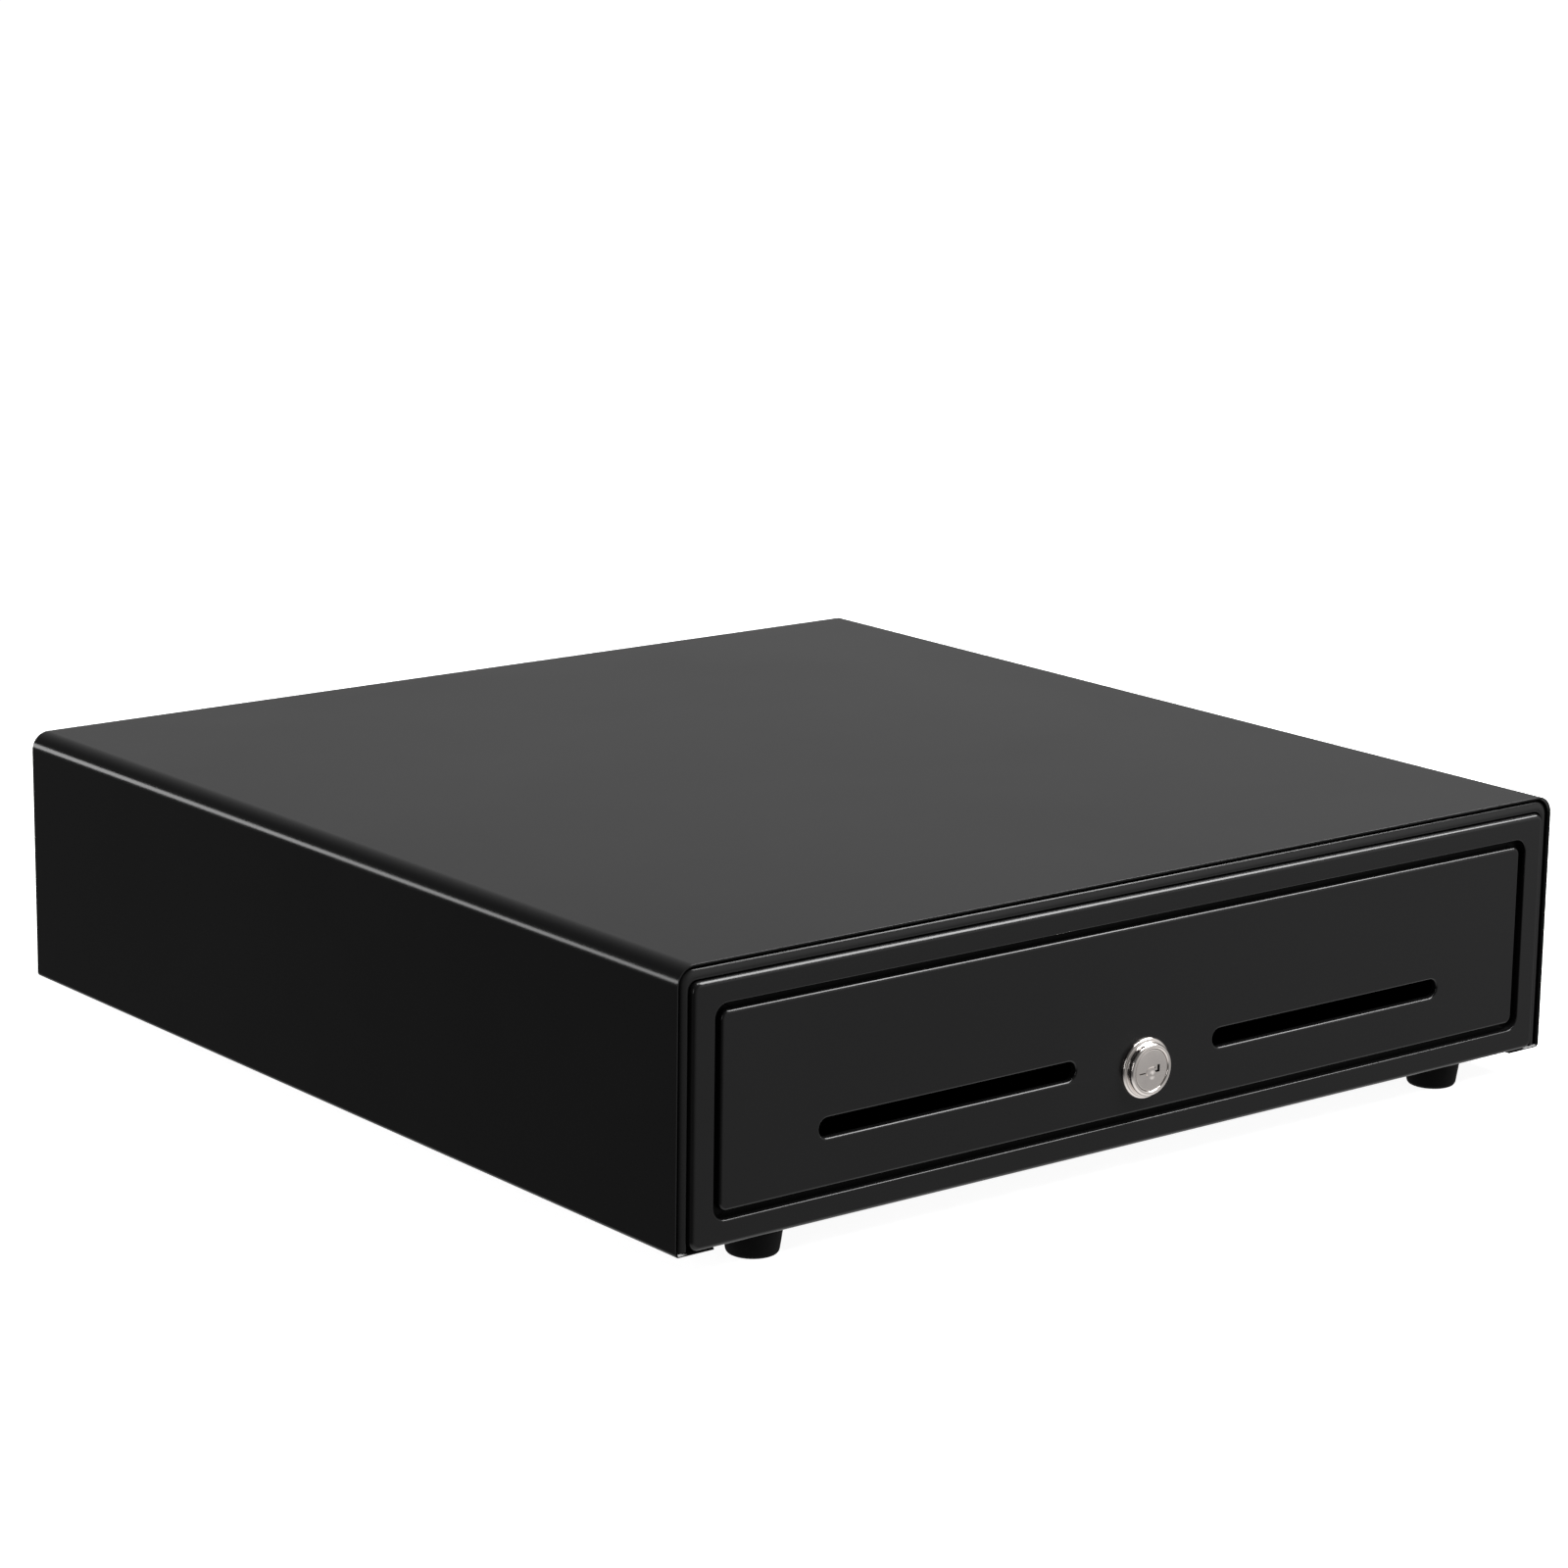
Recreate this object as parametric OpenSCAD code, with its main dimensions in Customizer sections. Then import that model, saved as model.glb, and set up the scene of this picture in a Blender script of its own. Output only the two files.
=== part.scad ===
// Counter-top cash drawer: a steel case on four rubber feet, with a sliding
// drawer on ball slides, a lift-out till, a key lock and a solenoid latch.
// Local coordinates of every module: X across, Y from the case's front rim
// (0) to its back, Z up from the underside of the case. at_case() then puts
// the origin under the middle of the whole object, on the floor.

/* [Case] */
// Width of the case over its sides
case_w = 410; // [400:1:420]
// Depth of the case from front rim to back edge
case_d = 415; // [413:1:420]
// Height of the case without its feet
case_h = 98; // [98:1:110]
// Thickness of the case's sheet steel
sheet = 1; // [1:0.1:1.2]
// Outside radius of the two long top bends
bend_r = 7; // [6:0.5:8]
// Width of the flanges turned in under the sides
flange_w = 15; // [12:1:16]

/* [Feet] */
// Drop from the case's underside to the floor
foot_drop = 10; // [8:1:14]
// Radius of a foot where it meets the case
foot_top_r = 10.5; // [9:0.5:12]
// Radius of a foot at the floor
foot_floor_r = 9.1; // [8:0.1:10]
// Distance of each foot's centre from the middle plane
foot_x = 162; // [140:1:170]
// Setback of the front feet from the front rim
foot_front_y = 14; // [13:1:40]
// Setback of the rear feet from the front rim
foot_back_y = 392; // [380:1:395]

/* [Drawer front] */
// Width of the front plate
plate_w = 399.2; // [398.8:0.1:399.6]
// Height of the front plate's lower edge
plate_low = 1; // [0.8:0.1:2]
// Height of the front plate's upper edge
plate_high = 92; // [90:0.5:92]
// How far the front plate stands proud of the case's rim
plate_proud = 1.5; // [1:0.1:2]
// Width of the window in the front plate
window_w = 381; // [375:1:381]
// Lower edge of the window
window_low = 9.8; // [9:0.1:11]
// Upper edge of the window
window_high = 83.6; // [82:0.1:84]
// Width of the groove between the window and the inset panel
groove_w = 2.8; // [2.5:0.1:3.2]
// How far the inset panel stands proud of the case's rim
inset_proud = 1.2; // [0.8:0.1:1.4]
// Inner end of each media slot, from the middle plane
slot_in = 32.5; // [30:0.5:40]
// Outer end of each media slot, from the middle plane
slot_out = 146.3; // [130:0.1:150]
// Height of the media slots' centre line
slot_z = 33.2; // [32:0.1:34]
// Height of the opening of a media slot
slot_h = 7; // [6:0.5:8]

/* [Drawer] */
// Outside width of the drawer tray
tray_w = 380; // [378:1:380]
// Height of the underside of the tray's floor
tray_low = 6; // [6:0.5:7]
// Height of the tray's side walls' upper edge
tray_high = 84; // [80:1:86]
// Outer face of the tray's rear wall
tray_back = 366; // [365:0.5:366]
// How far the drawer opens
travel = 265; // [200:1:265]

/* [Lock] */
// Height of the lock's axis
lock_z = 28.5; // [28:0.1:29]
// Radius of the bezel where it meets the inset panel
bezel_r = 11; // [10.5:0.1:12]
// Radius of the bezel's front edge
bezel_front_r = 9.2; // [9:0.1:9.6]
// How far the bezel stands proud of the case's rim
lock_proud = 5; // [4.5:0.5:6]
// Radius of the turning plug
plug_r = 7.5; // [7:0.1:7.6]

/* [Till] */
// Outside width of the till
till_w = 374; // [370:1:374]
// Height of the till's underside
till_low = 40; // [38:1:42]
// Height of the till's upper edge
till_high = 82; // [80:1:83]
// Wall thickness of the plastic pieces
plastic = 2; // [1.6:0.1:2.4]
// Number of note compartments side by side
note_count = 5; // [4:1:5]
// Number of coin cups side by side
cup_count = 4; // [3:1:5]

/* [Hidden] */
$fn = 48;

eps = 0.01;
half_w = case_w / 2;

// colours of the finishes
powder_black = [0.09, 0.09, 0.09];
zinc = [0.72, 0.72, 0.70];
nickel = [0.80, 0.77, 0.73];
spring_steel = [0.55, 0.55, 0.57];
rubber_black = [0.04, 0.04, 0.04];
till_black = [0.06, 0.06, 0.065];
nylon = [0.85, 0.84, 0.78];
winding_tape = [0.85, 0.62, 0.18];

// case: the cover wraps the chassis with a small air gap
cover_gap = 0.6;
in_w = half_w - sheet - cover_gap;
in_top = case_h - sheet - cover_gap;
pan_low = sheet;
pan_top = pan_low + sheet;
pan_side_top = 88;
pan_front = 3.2;
frame_back = 14.5;
pan_side_front = frame_back + 0.3;
pan_back = 412;
rear_y = pan_back + 0.4;
rear_ear = 14;

// front frame: the narrow band that shows round the drawer front
frame_front = 0.3;
frame_open_x = half_w - 4.9;
frame_open_z = case_h - 4;
frame_corner = 2.2;

// slides
rail_z = 50;
rail_front = 18;
rail_len = 340;
rail_sheet = 1.2;
rail_half = 17.5;
race_out = rail_half - rail_sheet;
race_in = 12.1;
rail_lip = 2;
rail_mouth = 193.6;
inner_edge = 199.4;
ball_r = 2;
ball_x = 197.4;
ball_dz = (race_out + race_in) / 2;
ball_count = 7;
ball_pitch = 10;
cage_front = 151;
cage_len = 70;
cage_web_x = 199.9;
cage_sheet = 0.5;
arm_half = 0.4;
rail_rivet_y = [40, 186, 340];
inner_screw_y = [34, 180, 330];

// drawer
tray_half = tray_w / 2;
tray_front = 1.5;
front_flange_x = 198.2;
front_flange_z = 90.4;
rest_w = 11;
front_screw_x = (window_w / 2 + plate_w / 2) / 2;
front_screw_z = [15, 47, 78];
inset_screw_x = 172;
inset_screw_z = [20, 73];

// lock and its rod
barrel_r = 9.5;
barrel_back = 24;
plug_fit = 0.08;
rod_r = 2.5;
rod_front = 25;
rod_back = 381;
tail_back = 33;
finger_y = 376.5;
finger_t = 3;
finger_len = 22;
finger_half = 3;
finger_hub_r = 5;
finger_angle = 45;

// latch
latch_x = 36;
latch_y = 402;
latch_pin_r = 2.5;
lever_z = 20;
lever_t = 2;
nose_x = 31.2;
nose_front = 376.5;
nose_back = 382.5;
neck_left = 34.2;
neck_right = 41.5;
release_z = 12;
release_tip = 16.9;
link_x = 37.5;
link_y = 390;
link_r = 1.5;

// striker
striker_left = 15.5;
striker_right = 28.8;
notch_depth = 6.3;
notch_front = nose_front - 0.5;
notch_back = 385.5;
striker_back = 391;
striker_rivet_x = [18.5, 26];
striker_rivet_z = 30;

// solenoid
sol_front = 52;
sol_back = 90;
sol_sheet = 2;
sol_z = lever_z + lever_t / 2;
sol_half = 13;
plunger_r = 4.5;
plunger_fit = 0.08;
bracket_top = pan_top + 1.5;
bracket_screw_x = [30, 98];

// till
till_half = till_w / 2;
till_front = 4.5;
till_back = 362;
coin_back = 184;
note_front = coin_back + plastic;
note_w = (till_w - (note_count + 1) * plastic) / note_count;
note_pitch = note_w + plastic;
divider_seat = 0.9;
divider_fit = 0.08;
coin_half = till_half - 2.5;
coin_front = 7;
coin_end = 183;
coin_low = till_low + plastic + 0.3;
coin_high = 80;
cup_w = (2 * coin_half - (cup_count + 1) * plastic) / cup_count;
cup_d = (coin_end - coin_front - 3 * plastic) / 2;
scoop_r = 50;

// note clips
clip_y = 346;
clip_z = 74;
clip_rod_r = 1.5;
clip_rod_fit = 0.06;
clip_half = 12;
clip_len = 104;
clip_roll_r = 3;
clip_drop = asin((clip_z - till_low - plastic - clip_roll_r - 0.3) / clip_len);

// microswitch
switch_left = -62;
switch_right = -42;
switch_low = 10;
switch_high = 16.4;
switch_front = 373.5;
switch_back = 383.5;
switch_hinge_x = -60.5;
switch_hinge_y = 372.2;
switch_pin_r = 0.6;
switch_lever_len = 20;
switch_lever_angle = 15.5;
button_x = -50;
button_r = 0.9;
button_tip = 370;

// springs behind the drawer
eject_x = 140;
eject_z = 40;
eject_r = 6;
eject_wire = 0.8;
eject_front = tray_back + 0.6;
eject_turns = 9;

// ---- placing helpers ----

module at_case() {
    translate([0, -(case_d - lock_proud) / 2, foot_drop]) children();
}

// A profile drawn in X and Z, stretched along Y
module along_y(from, to) {
    translate([0, to, 0]) rotate([90, 0, 0]) linear_extrude(to - from) children();
}

// A profile drawn in Y and Z, stretched along X
module along_x(from, to) {
    translate([from, 0, 0]) rotate([90, 0, 90]) linear_extrude(to - from) children();
}

module box(x1, x2, y1, y2, z1, z2) {
    translate([x1, y1, z1]) cube([x2 - x1, y2 - y1, z2 - z1]);
}

// A round bar along Y
module bar_y(x, z, r, y1, y2) {
    translate([x, y1, z]) rotate([-90, 0, 0]) cylinder(h = y2 - y1, r = r);
}

// A round bar along X
module bar_x(y, z, r, x1, x2) {
    translate([x1, y, z]) rotate([0, 90, 0]) cylinder(h = x2 - x1, r = r);
}

module both_sides() {
    children();
    mirror([1, 0, 0]) children();
}

// Rectangle from (x1, z1) to (x2, z2) with round corners
module round_rect(x1, x2, z1, z2, r) {
    translate([x1 + r, z1]) square([x2 - x1 - 2 * r, z2 - z1]);
    translate([x1, z1 + r]) square([x2 - x1, z2 - z1 - 2 * r]);
    for (x = [x1 + r, x2 - r], z = [z1 + r, z2 - r]) {
        translate([x, z]) circle(r = r);
    }
}

// Arch: square at the foot, round at its two top corners
module arch(half, low, high, r) {
    translate([-half, low]) square([2 * half, high - low - r]);
    translate([r - half, low]) square([2 * (half - r), high - low]);
    for (side = [-1, 1]) {
        translate([side * (half - r), high - r]) circle(r = r);
    }
}

// ---- case ----

cover_screw_x = half_w - sheet - flange_w / 2;
cover_screw_y = [60, 207, 355];

module housing_cover() {
    color(powder_black) at_case() difference() {
        union() {
            along_y(0, case_d) difference() {
                arch(half_w, 0, case_h, bend_r);
                arch(half_w - sheet, -1, case_h - sheet, bend_r - sheet);
            }
            both_sides() box(half_w - sheet - flange_w, half_w - sheet / 2, 0, case_d, 0, sheet);
        }
        both_sides() for (y = cover_screw_y) {
            translate([cover_screw_x, y, -1]) cylinder(h = 3, r = 1.7);
        }
    }
}

module chassis_pan() {
    color(powder_black) at_case() difference() {
        union() {
            box(-in_w + sheet / 2, in_w - sheet / 2, pan_side_front, pan_back, pan_low, pan_top);
            box(-198, 198, pan_front, pan_side_front + eps, pan_low, pan_top);
            both_sides() {
                box(in_w - sheet, in_w, pan_side_front, pan_back, pan_low, pan_side_top);
                box(in_w - rear_ear, in_w - sheet / 2, pan_back - sheet, pan_back, 10, 80);
            }
        }
        both_sides() {
            for (y = cover_screw_y) {
                translate([cover_screw_x, y, 0]) cylinder(h = 3, r = 1.6);
            }
            for (y = rail_rivet_y) bar_x(y, rail_z, 2, in_w - 2, in_w + 1);
            for (z = frame_rivet_z) bar_x(frame_rivet_y, z, 2, in_w - 2, in_w + 1);
            for (z = rear_screw_z) bar_y(rear_screw_x, z, 1.6, pan_back - 2, pan_back + 1);
            for (y = [foot_front_y, foot_back_y]) {
                translate([foot_x, y, 0]) cylinder(h = 3, r = 2.1);
            }
        }
        for (x = bracket_screw_x) translate([x, link_y + 2, 0]) cylinder(h = 3, r = 1.6);
    }
}

frame_rivet_y = 21;
frame_rivet_z = [18, 78];

module front_frame() {
    color(powder_black) at_case() difference() {
        union() {
            along_y(frame_front, frame_front + sheet) difference() {
                arch(in_w, plate_low + 0.2, in_top, bend_r - sheet - cover_gap);
                arch(frame_open_x, -1, frame_open_z, frame_corner);
            }
            along_y(frame_front, frame_back) difference() {
                arch(in_w, plate_low + 0.2, in_top, bend_r - sheet - cover_gap);
                arch(in_w - sheet, -1, in_top - sheet, bend_r - 2 * sheet - cover_gap);
            }
            both_sides() for (z = frame_rivet_z) {
                box(in_w - 2 * sheet, in_w - sheet + eps, frame_back - 4, frame_rivet_y + 6, z - 8, z + 8);
            }
        }
        both_sides() for (z = frame_rivet_z) bar_x(frame_rivet_y, z, 2, in_w - 3, in_w + 1);
    }
}

// A rivet along X from x1 to x2 with a low head at each end
module rivet_x(y, z, x1, x2, r, head_r, head_h, tail_h) {
    bar_x(y, z, r, x1 - eps, x2 + eps);
    bar_x(y, z, head_r, x1 - head_h, x1);
    bar_x(y, z, head_r, x2, x2 + tail_h);
}

module frame_rivets() {
    color(zinc) at_case() both_sides() for (z = frame_rivet_z) {
        rivet_x(frame_rivet_y, z, in_w - 2 * sheet, in_w, 1.9, 3.2, 1.1, 0.4);
    }
}

rear_screw_x = half_w - 11;
rear_screw_z = [20, 70];
cable_x = 120;
cable_z = 22;
cable_hole_r = 7;
cable_bore_r = 4;

module rear_panel() {
    color(powder_black) at_case() difference() {
        along_y(rear_y, rear_y + sheet) difference() {
            arch(in_w, pan_low + 0.2, in_top, bend_r - sheet - cover_gap);
            both_sides() for (z = rear_screw_z) translate([rear_screw_x, z]) circle(r = 1.6);
            translate([cable_x, cable_z]) circle(r = cable_hole_r);
        }
    }
}

// Pan-head screw whose head stands on a face at y and points along +Y
module screw_back(x, z, y, r, head_r, head_h, len) {
    bar_y(x, z, r, y - len, y + eps);
    bar_y(x, z, head_r, y, y + head_h);
}

module rear_screws() {
    color(zinc) at_case() both_sides() for (z = rear_screw_z) {
        screw_back(rear_screw_x, z, rear_y + sheet, 1.5, 3, 1.4, 6);
    }
}

module cover_screws() {
    color(zinc) at_case() both_sides() for (y = cover_screw_y) {
        translate([cover_screw_x, y, -1.6]) cylinder(h = 1.6, r = 3);
        translate([cover_screw_x, y, -eps]) cylinder(h = 5, r = 1.5);
    }
}

module at_feet() {
    for (x = [-foot_x, foot_x], y = [foot_front_y, foot_back_y]) {
        translate([x, y, 0]) children();
    }
}

module rubber_feet() {
    foot_h = foot_drop + pan_low;
    color(rubber_black) at_case() at_feet() difference() {
        translate([0, 0, -foot_drop]) union() {
            cylinder(h = 1, r1 = foot_floor_r - 0.8, r2 = foot_floor_r);
            translate([0, 0, 1]) cylinder(h = foot_h - 1, r1 = foot_floor_r, r2 = foot_top_r);
        }
        translate([0, 0, -foot_drop - 1]) cylinder(h = 6, r = 4.6);
        translate([0, 0, -foot_drop]) cylinder(h = foot_h + 2, r = 2.2);
    }
}

module foot_screws() {
    color(zinc) at_case() at_feet() {
        translate([0, 0, 3 - foot_drop]) cylinder(h = 2, r = 4);
        translate([0, 0, 4 - foot_drop]) cylinder(h = foot_drop + 0.4, r = 2);
    }
}

module cable_grommet() {
    color(rubber_black) at_case() difference() {
        union() {
            bar_y(cable_x, cable_z, cable_hole_r - 0.1, rear_y - eps, rear_y + sheet + eps);
            bar_y(cable_x, cable_z, cable_hole_r + 2, rear_y - 2.5, rear_y);
            bar_y(cable_x, cable_z, cable_hole_r + 2, rear_y + sheet, rear_y + sheet + 1.4);
        }
        bar_y(cable_x, cable_z, cable_bore_r, rear_y - 4, rear_y + 4);
    }
}

// ---- slides, drawn on the +X side ----

module outer_rail() {
    difference() {
        union() {
            box(in_w - sheet - rail_sheet, in_w - sheet, rail_front, rail_front + rail_len,
                rail_z - rail_half, rail_z + rail_half);
            for (side = [0, 1]) translate([0, 0, rail_z]) mirror([0, 0, side]) {
                box(rail_mouth, in_w - sheet, rail_front, rail_front + rail_len, race_out, rail_half);
                box(rail_mouth, rail_mouth + rail_sheet, rail_front, rail_front + rail_len,
                    race_out - rail_lip, rail_half);
            }
        }
        for (y = rail_rivet_y) bar_x(y, rail_z, 2, in_w - 4, in_w);
    }
}

module left_outer_rail() {
    color(zinc) at_case() mirror([1, 0, 0]) outer_rail();
}

module right_outer_rail() {
    color(zinc) at_case() outer_rail();
}

module rail_rivets() {
    color(zinc) at_case() both_sides() for (y = rail_rivet_y) {
        rivet_x(y, rail_z, in_w - sheet - rail_sheet, in_w, 1.9, 3.2, 0.5, 0.4);
    }
}

module inner_rail() {
    difference() {
        union() {
            box(tray_half, tray_half + rail_sheet, rail_front - 2, rail_front - 2 + rail_len,
                rail_z - race_in, rail_z + race_in);
            for (side = [0, 1]) translate([0, 0, rail_z]) mirror([0, 0, side]) {
                box(tray_half, inner_edge, rail_front - 2, rail_front - 2 + rail_len,
                    race_in - rail_sheet, race_in);
            }
        }
        for (y = inner_screw_y) bar_x(y, rail_z, 1.6, tray_half - 1, tray_half + 2);
    }
}

module left_inner_rail() {
    color(zinc) at_case() mirror([1, 0, 0]) inner_rail();
}

module right_inner_rail() {
    color(zinc) at_case() inner_rail();
}

module inner_rail_screws() {
    color(zinc) at_case() both_sides() for (y = inner_screw_y) {
        bar_x(y, rail_z, 3, tray_half + rail_sheet, tray_half + rail_sheet + 1.5);
        bar_x(y, rail_z, 1.5, tray_half - 2, tray_half + rail_sheet + eps);
    }
}

module at_balls() {
    first = cage_front + (cage_len - (ball_count - 1) * ball_pitch) / 2;
    for (k = [0:ball_count - 1], side = [-1, 1]) {
        translate([ball_x, first + k * ball_pitch, rail_z + side * ball_dz]) children();
    }
}

module ball_cage() {
    difference() {
        union() {
            box(cage_web_x, cage_web_x + cage_sheet, cage_front, cage_front + cage_len,
                rail_z - ball_dz - arm_half, rail_z + ball_dz + arm_half);
            for (side = [-1, 1]) {
                box(ball_x - ball_r - 0.3, cage_web_x + eps, cage_front, cage_front + cage_len,
                    rail_z + side * ball_dz - arm_half, rail_z + side * ball_dz + arm_half);
            }
        }
        at_balls() translate([0, 0, -1]) cylinder(h = 2, r = ball_r + 0.08);
        for (k = [0:2]) {
            box(cage_web_x - 1, cage_web_x + 1, cage_front + 8 + k * 21, cage_front + 20 + k * 21,
                rail_z - 6, rail_z + 6);
        }
    }
}

module left_ball_cage() {
    color(zinc) at_case() mirror([1, 0, 0]) ball_cage();
}

module right_ball_cage() {
    color(zinc) at_case() ball_cage();
}

module left_slide_balls() {
    color(spring_steel) at_case() mirror([1, 0, 0]) at_balls() sphere(r = ball_r);
}

module right_slide_balls() {
    color(spring_steel) at_case() at_balls() sphere(r = ball_r);
}

// ---- latch and solenoid, on the chassis behind the drawer ----

post_x = 46;

module mechanism_bracket() {
    color(zinc) at_case() difference() {
        union() {
            box(24, 104, 384, 411, pan_top, bracket_top);
            box(post_x, post_x + 1.5, 400, 410, pan_top, 30);
        }
        for (x = bracket_screw_x) translate([x, link_y + 2, 0]) cylinder(h = 8, r = 1.7);
        bar_x(latch_y + 3.8, 27.2, 0.7, post_x - 1, post_x + 3);
        translate([latch_x, latch_y, 0]) cylinder(h = 8, r = 2);
    }
}

module bracket_screws() {
    color(zinc) at_case() for (x = bracket_screw_x) translate([x, link_y + 2, 0]) {
        translate([0, 0, bracket_top]) cylinder(h = 1.5, r = 3);
        translate([0, 0, 0.6]) cylinder(h = bracket_top - 0.6 + eps, r = 1.5);
    }
}

module latch_pivot_pin() {
    color(zinc) at_case() translate([latch_x, latch_y, 0]) {
        translate([0, 0, pan_top + 0.2]) cylinder(h = 2, r = 1.9);
        translate([0, 0, bracket_top]) cylinder(h = lever_z - bracket_top - 0.2, r = 4.5);
        translate([0, 0, lever_z - 0.3]) cylinder(h = 9, r = latch_pin_r);
        translate([0, 0, 28.5]) cylinder(h = 1.5, r = 4);
    }
}

// A close-wound coil along Z: a sleeve with one rib for each turn
module coil(turns, mean_r, wire_r, pitch) {
    rotate_extrude() {
        for (k = [0:turns - 1]) translate([mean_r, k * pitch]) circle(r = wire_r, $fn = 16);
        translate([mean_r - wire_r / 2, 0]) square([wire_r, (turns - 1) * pitch]);
    }
}

module latch_spring() {
    color(spring_steel) at_case() {
        translate([latch_x, latch_y, 23]) coil(5, 3.8, 0.5, 1.05);
        bar_x(latch_y - 3.7, 23.1, 0.4, latch_x - 9.5, latch_x);
        translate([latch_x - 9.5, latch_y - 3.7, 20]) cylinder(h = 3.2, r = 0.45);
        bar_x(latch_y + 3.7, 27.1, 0.4, latch_x, post_x + 3);
    }
}

module solenoid_frame() {
    color(zinc) at_case() difference() {
        union() {
            box(sol_front, sol_back, link_y - sol_half, link_y + sol_half, bracket_top, bracket_top + sol_sheet);
            box(sol_front, sol_front + sol_sheet, link_y - sol_half, link_y + sol_half, bracket_top, 35);
            box(sol_back - sol_sheet, sol_back, link_y - sol_half, link_y + sol_half, bracket_top, 35);
        }
        bar_x(link_y, sol_z, plunger_r + 0.3, sol_front - 1, sol_front + sol_sheet + 1);
    }
}

module solenoid_coil() {
    color(winding_tape) at_case() difference() {
        union() {
            bar_x(link_y, sol_z, sol_half - 1.5, sol_front + sol_sheet + 0.2, sol_back - sol_sheet - 0.2);
            bar_x(link_y, sol_z, sol_half - 0.5, sol_front + sol_sheet + 0.2, sol_front + sol_sheet + 1.7);
            bar_x(link_y, sol_z, sol_half - 0.5, sol_back - sol_sheet - 1.7, sol_back - sol_sheet - 0.2);
        }
        bar_x(link_y, sol_z, plunger_r + plunger_fit, sol_front, sol_back);
    }
}

module solenoid_plunger() {
    fork_end = 46;
    color(zinc) at_case() difference() {
        bar_x(link_y, sol_z, plunger_r, link_x - 3, 80);
        box(link_x - 4, fork_end, link_y - 6, link_y + 6, lever_z - 0.3, lever_z + lever_t + 0.3);
        translate([link_x, link_y, 10]) cylinder(h = 20, r = link_r + 0.02);
    }
}

module plunger_pin() {
    color(spring_steel) at_case() translate([link_x, link_y, lever_z - 3.2]) cylinder(h = 8.4, r = link_r);
}

module latch_lever() {
    color(zinc) at_case() difference() {
        union() {
            translate([0, 0, lever_z]) linear_extrude(lever_t) {
                polygon([[nose_x, nose_front], [neck_right, nose_front], [neck_right, 398],
                    [neck_left, 398], [neck_left, nose_back + 1.5], [nose_x + 1, nose_back], [nose_x, nose_back - 1]]);
                translate([latch_x, latch_y]) circle(r = 7);
                translate([25, latch_y - 3]) square([latch_x - 25, 5]);
            }
            box(neck_right - 2, neck_right, nose_front, nose_back, release_z, lever_z + eps);
            box(release_tip, neck_right, nose_front - 1, nose_front + 4, release_z, release_z + lever_t);
        }
        translate([latch_x, latch_y, lever_z - 1]) cylinder(h = 4, r = latch_pin_r + 0.08);
        translate([0, 0, lever_z - 1]) linear_extrude(4) union() {
            translate([link_x - 1.85, link_y - 1]) square([3.7, 2]);
            for (dy = [-1, 1]) translate([link_x, link_y + dy]) circle(r = 1.85);
        }
    }
}

module eject_guides() {
    color(zinc) at_case() both_sides() {
        box(eject_x - 12, eject_x + 12, pan_back - 9, pan_back - 7.5, pan_top, eject_z + 12);
        box(eject_x - 12, eject_x + 12, pan_back - 9, pan_back - 1.2, pan_top, pan_top + 1.5);
        bar_y(eject_x, eject_z, 4, tray_back + 8, pan_back - 8);
    }
}

module eject_springs() {
    end = pan_back - 9 - eject_wire - 0.1;
    pitch = (end - eject_front - eject_wire) / (eject_turns - 1);
    color(spring_steel) at_case() both_sides() {
        translate([eject_x, eject_front + eject_wire, eject_z]) rotate([-90, 0, 0])
            coil(eject_turns, eject_r, eject_wire, pitch);
    }
}

// ---- drawer-closed switch ----

switch_screw_x = [-57, -46];

module switch_bracket() {
    color(zinc) at_case() difference() {
        union() {
            box(switch_left - 2, switch_right + 2, 385, 404, pan_top, pan_top + 1.2);
            box(switch_left - 2, switch_right + 2, 385, 386.2, pan_top, switch_low);
            box(switch_left - 2, switch_right + 2, switch_front + 0.5, 386.2, switch_low - 1.2, switch_low);
        }
        for (x = switch_screw_x) translate([x, 380.5, 0]) cylinder(h = 12, r = 1.25);
    }
}

module switch_body() {
    ear = 1;
    color(rubber_black) at_case() difference() {
        union() {
            box(switch_left, switch_right, switch_front, switch_back, switch_low, switch_high);
            for (z = [switch_low, switch_high - ear]) {
                translate([switch_hinge_x, switch_hinge_y, z]) cylinder(h = ear, r = 1.4);
                box(switch_hinge_x - 1.4, switch_hinge_x + 1.4, switch_hinge_y, switch_front + 1, z, z + ear);
            }
            translate([switch_hinge_x, switch_hinge_y, switch_low]) cylinder(h = switch_high - switch_low, r = switch_pin_r);
        }
        for (x = switch_screw_x) translate([x, 380.5, 0]) cylinder(h = 20, r = 1.25);
        bar_y(button_x, 13.2, button_r + 0.1, switch_front - 1, switch_front + 3);
    }
}

module switch_screws() {
    color(zinc) at_case() for (x = switch_screw_x) translate([x, 380.5, 0]) {
        translate([0, 0, switch_high]) cylinder(h = 1.2, r = 2);
        translate([0, 0, 6.5]) cylinder(h = switch_high - 6.5 + eps, r = 1.1);
    }
}

module switch_lever() {
    color(spring_steel) at_case() translate([switch_hinge_x, switch_hinge_y, 11.2]) difference() {
        union() {
            cylinder(h = 4, r = 1.2);
            rotate([0, 0, -switch_lever_angle]) translate([0.8, -0.3, 0]) cube([switch_lever_len - 0.8, 0.6, 4]);
        }
        translate([0, 0, -1]) cylinder(h = 6, r = switch_pin_r + 0.06);
    }
}

module switch_button() {
    color(nylon) at_case() bar_y(button_x, 13.2, button_r, button_tip, switch_front + 1.8);
}

// ---- drawer ----

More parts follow.
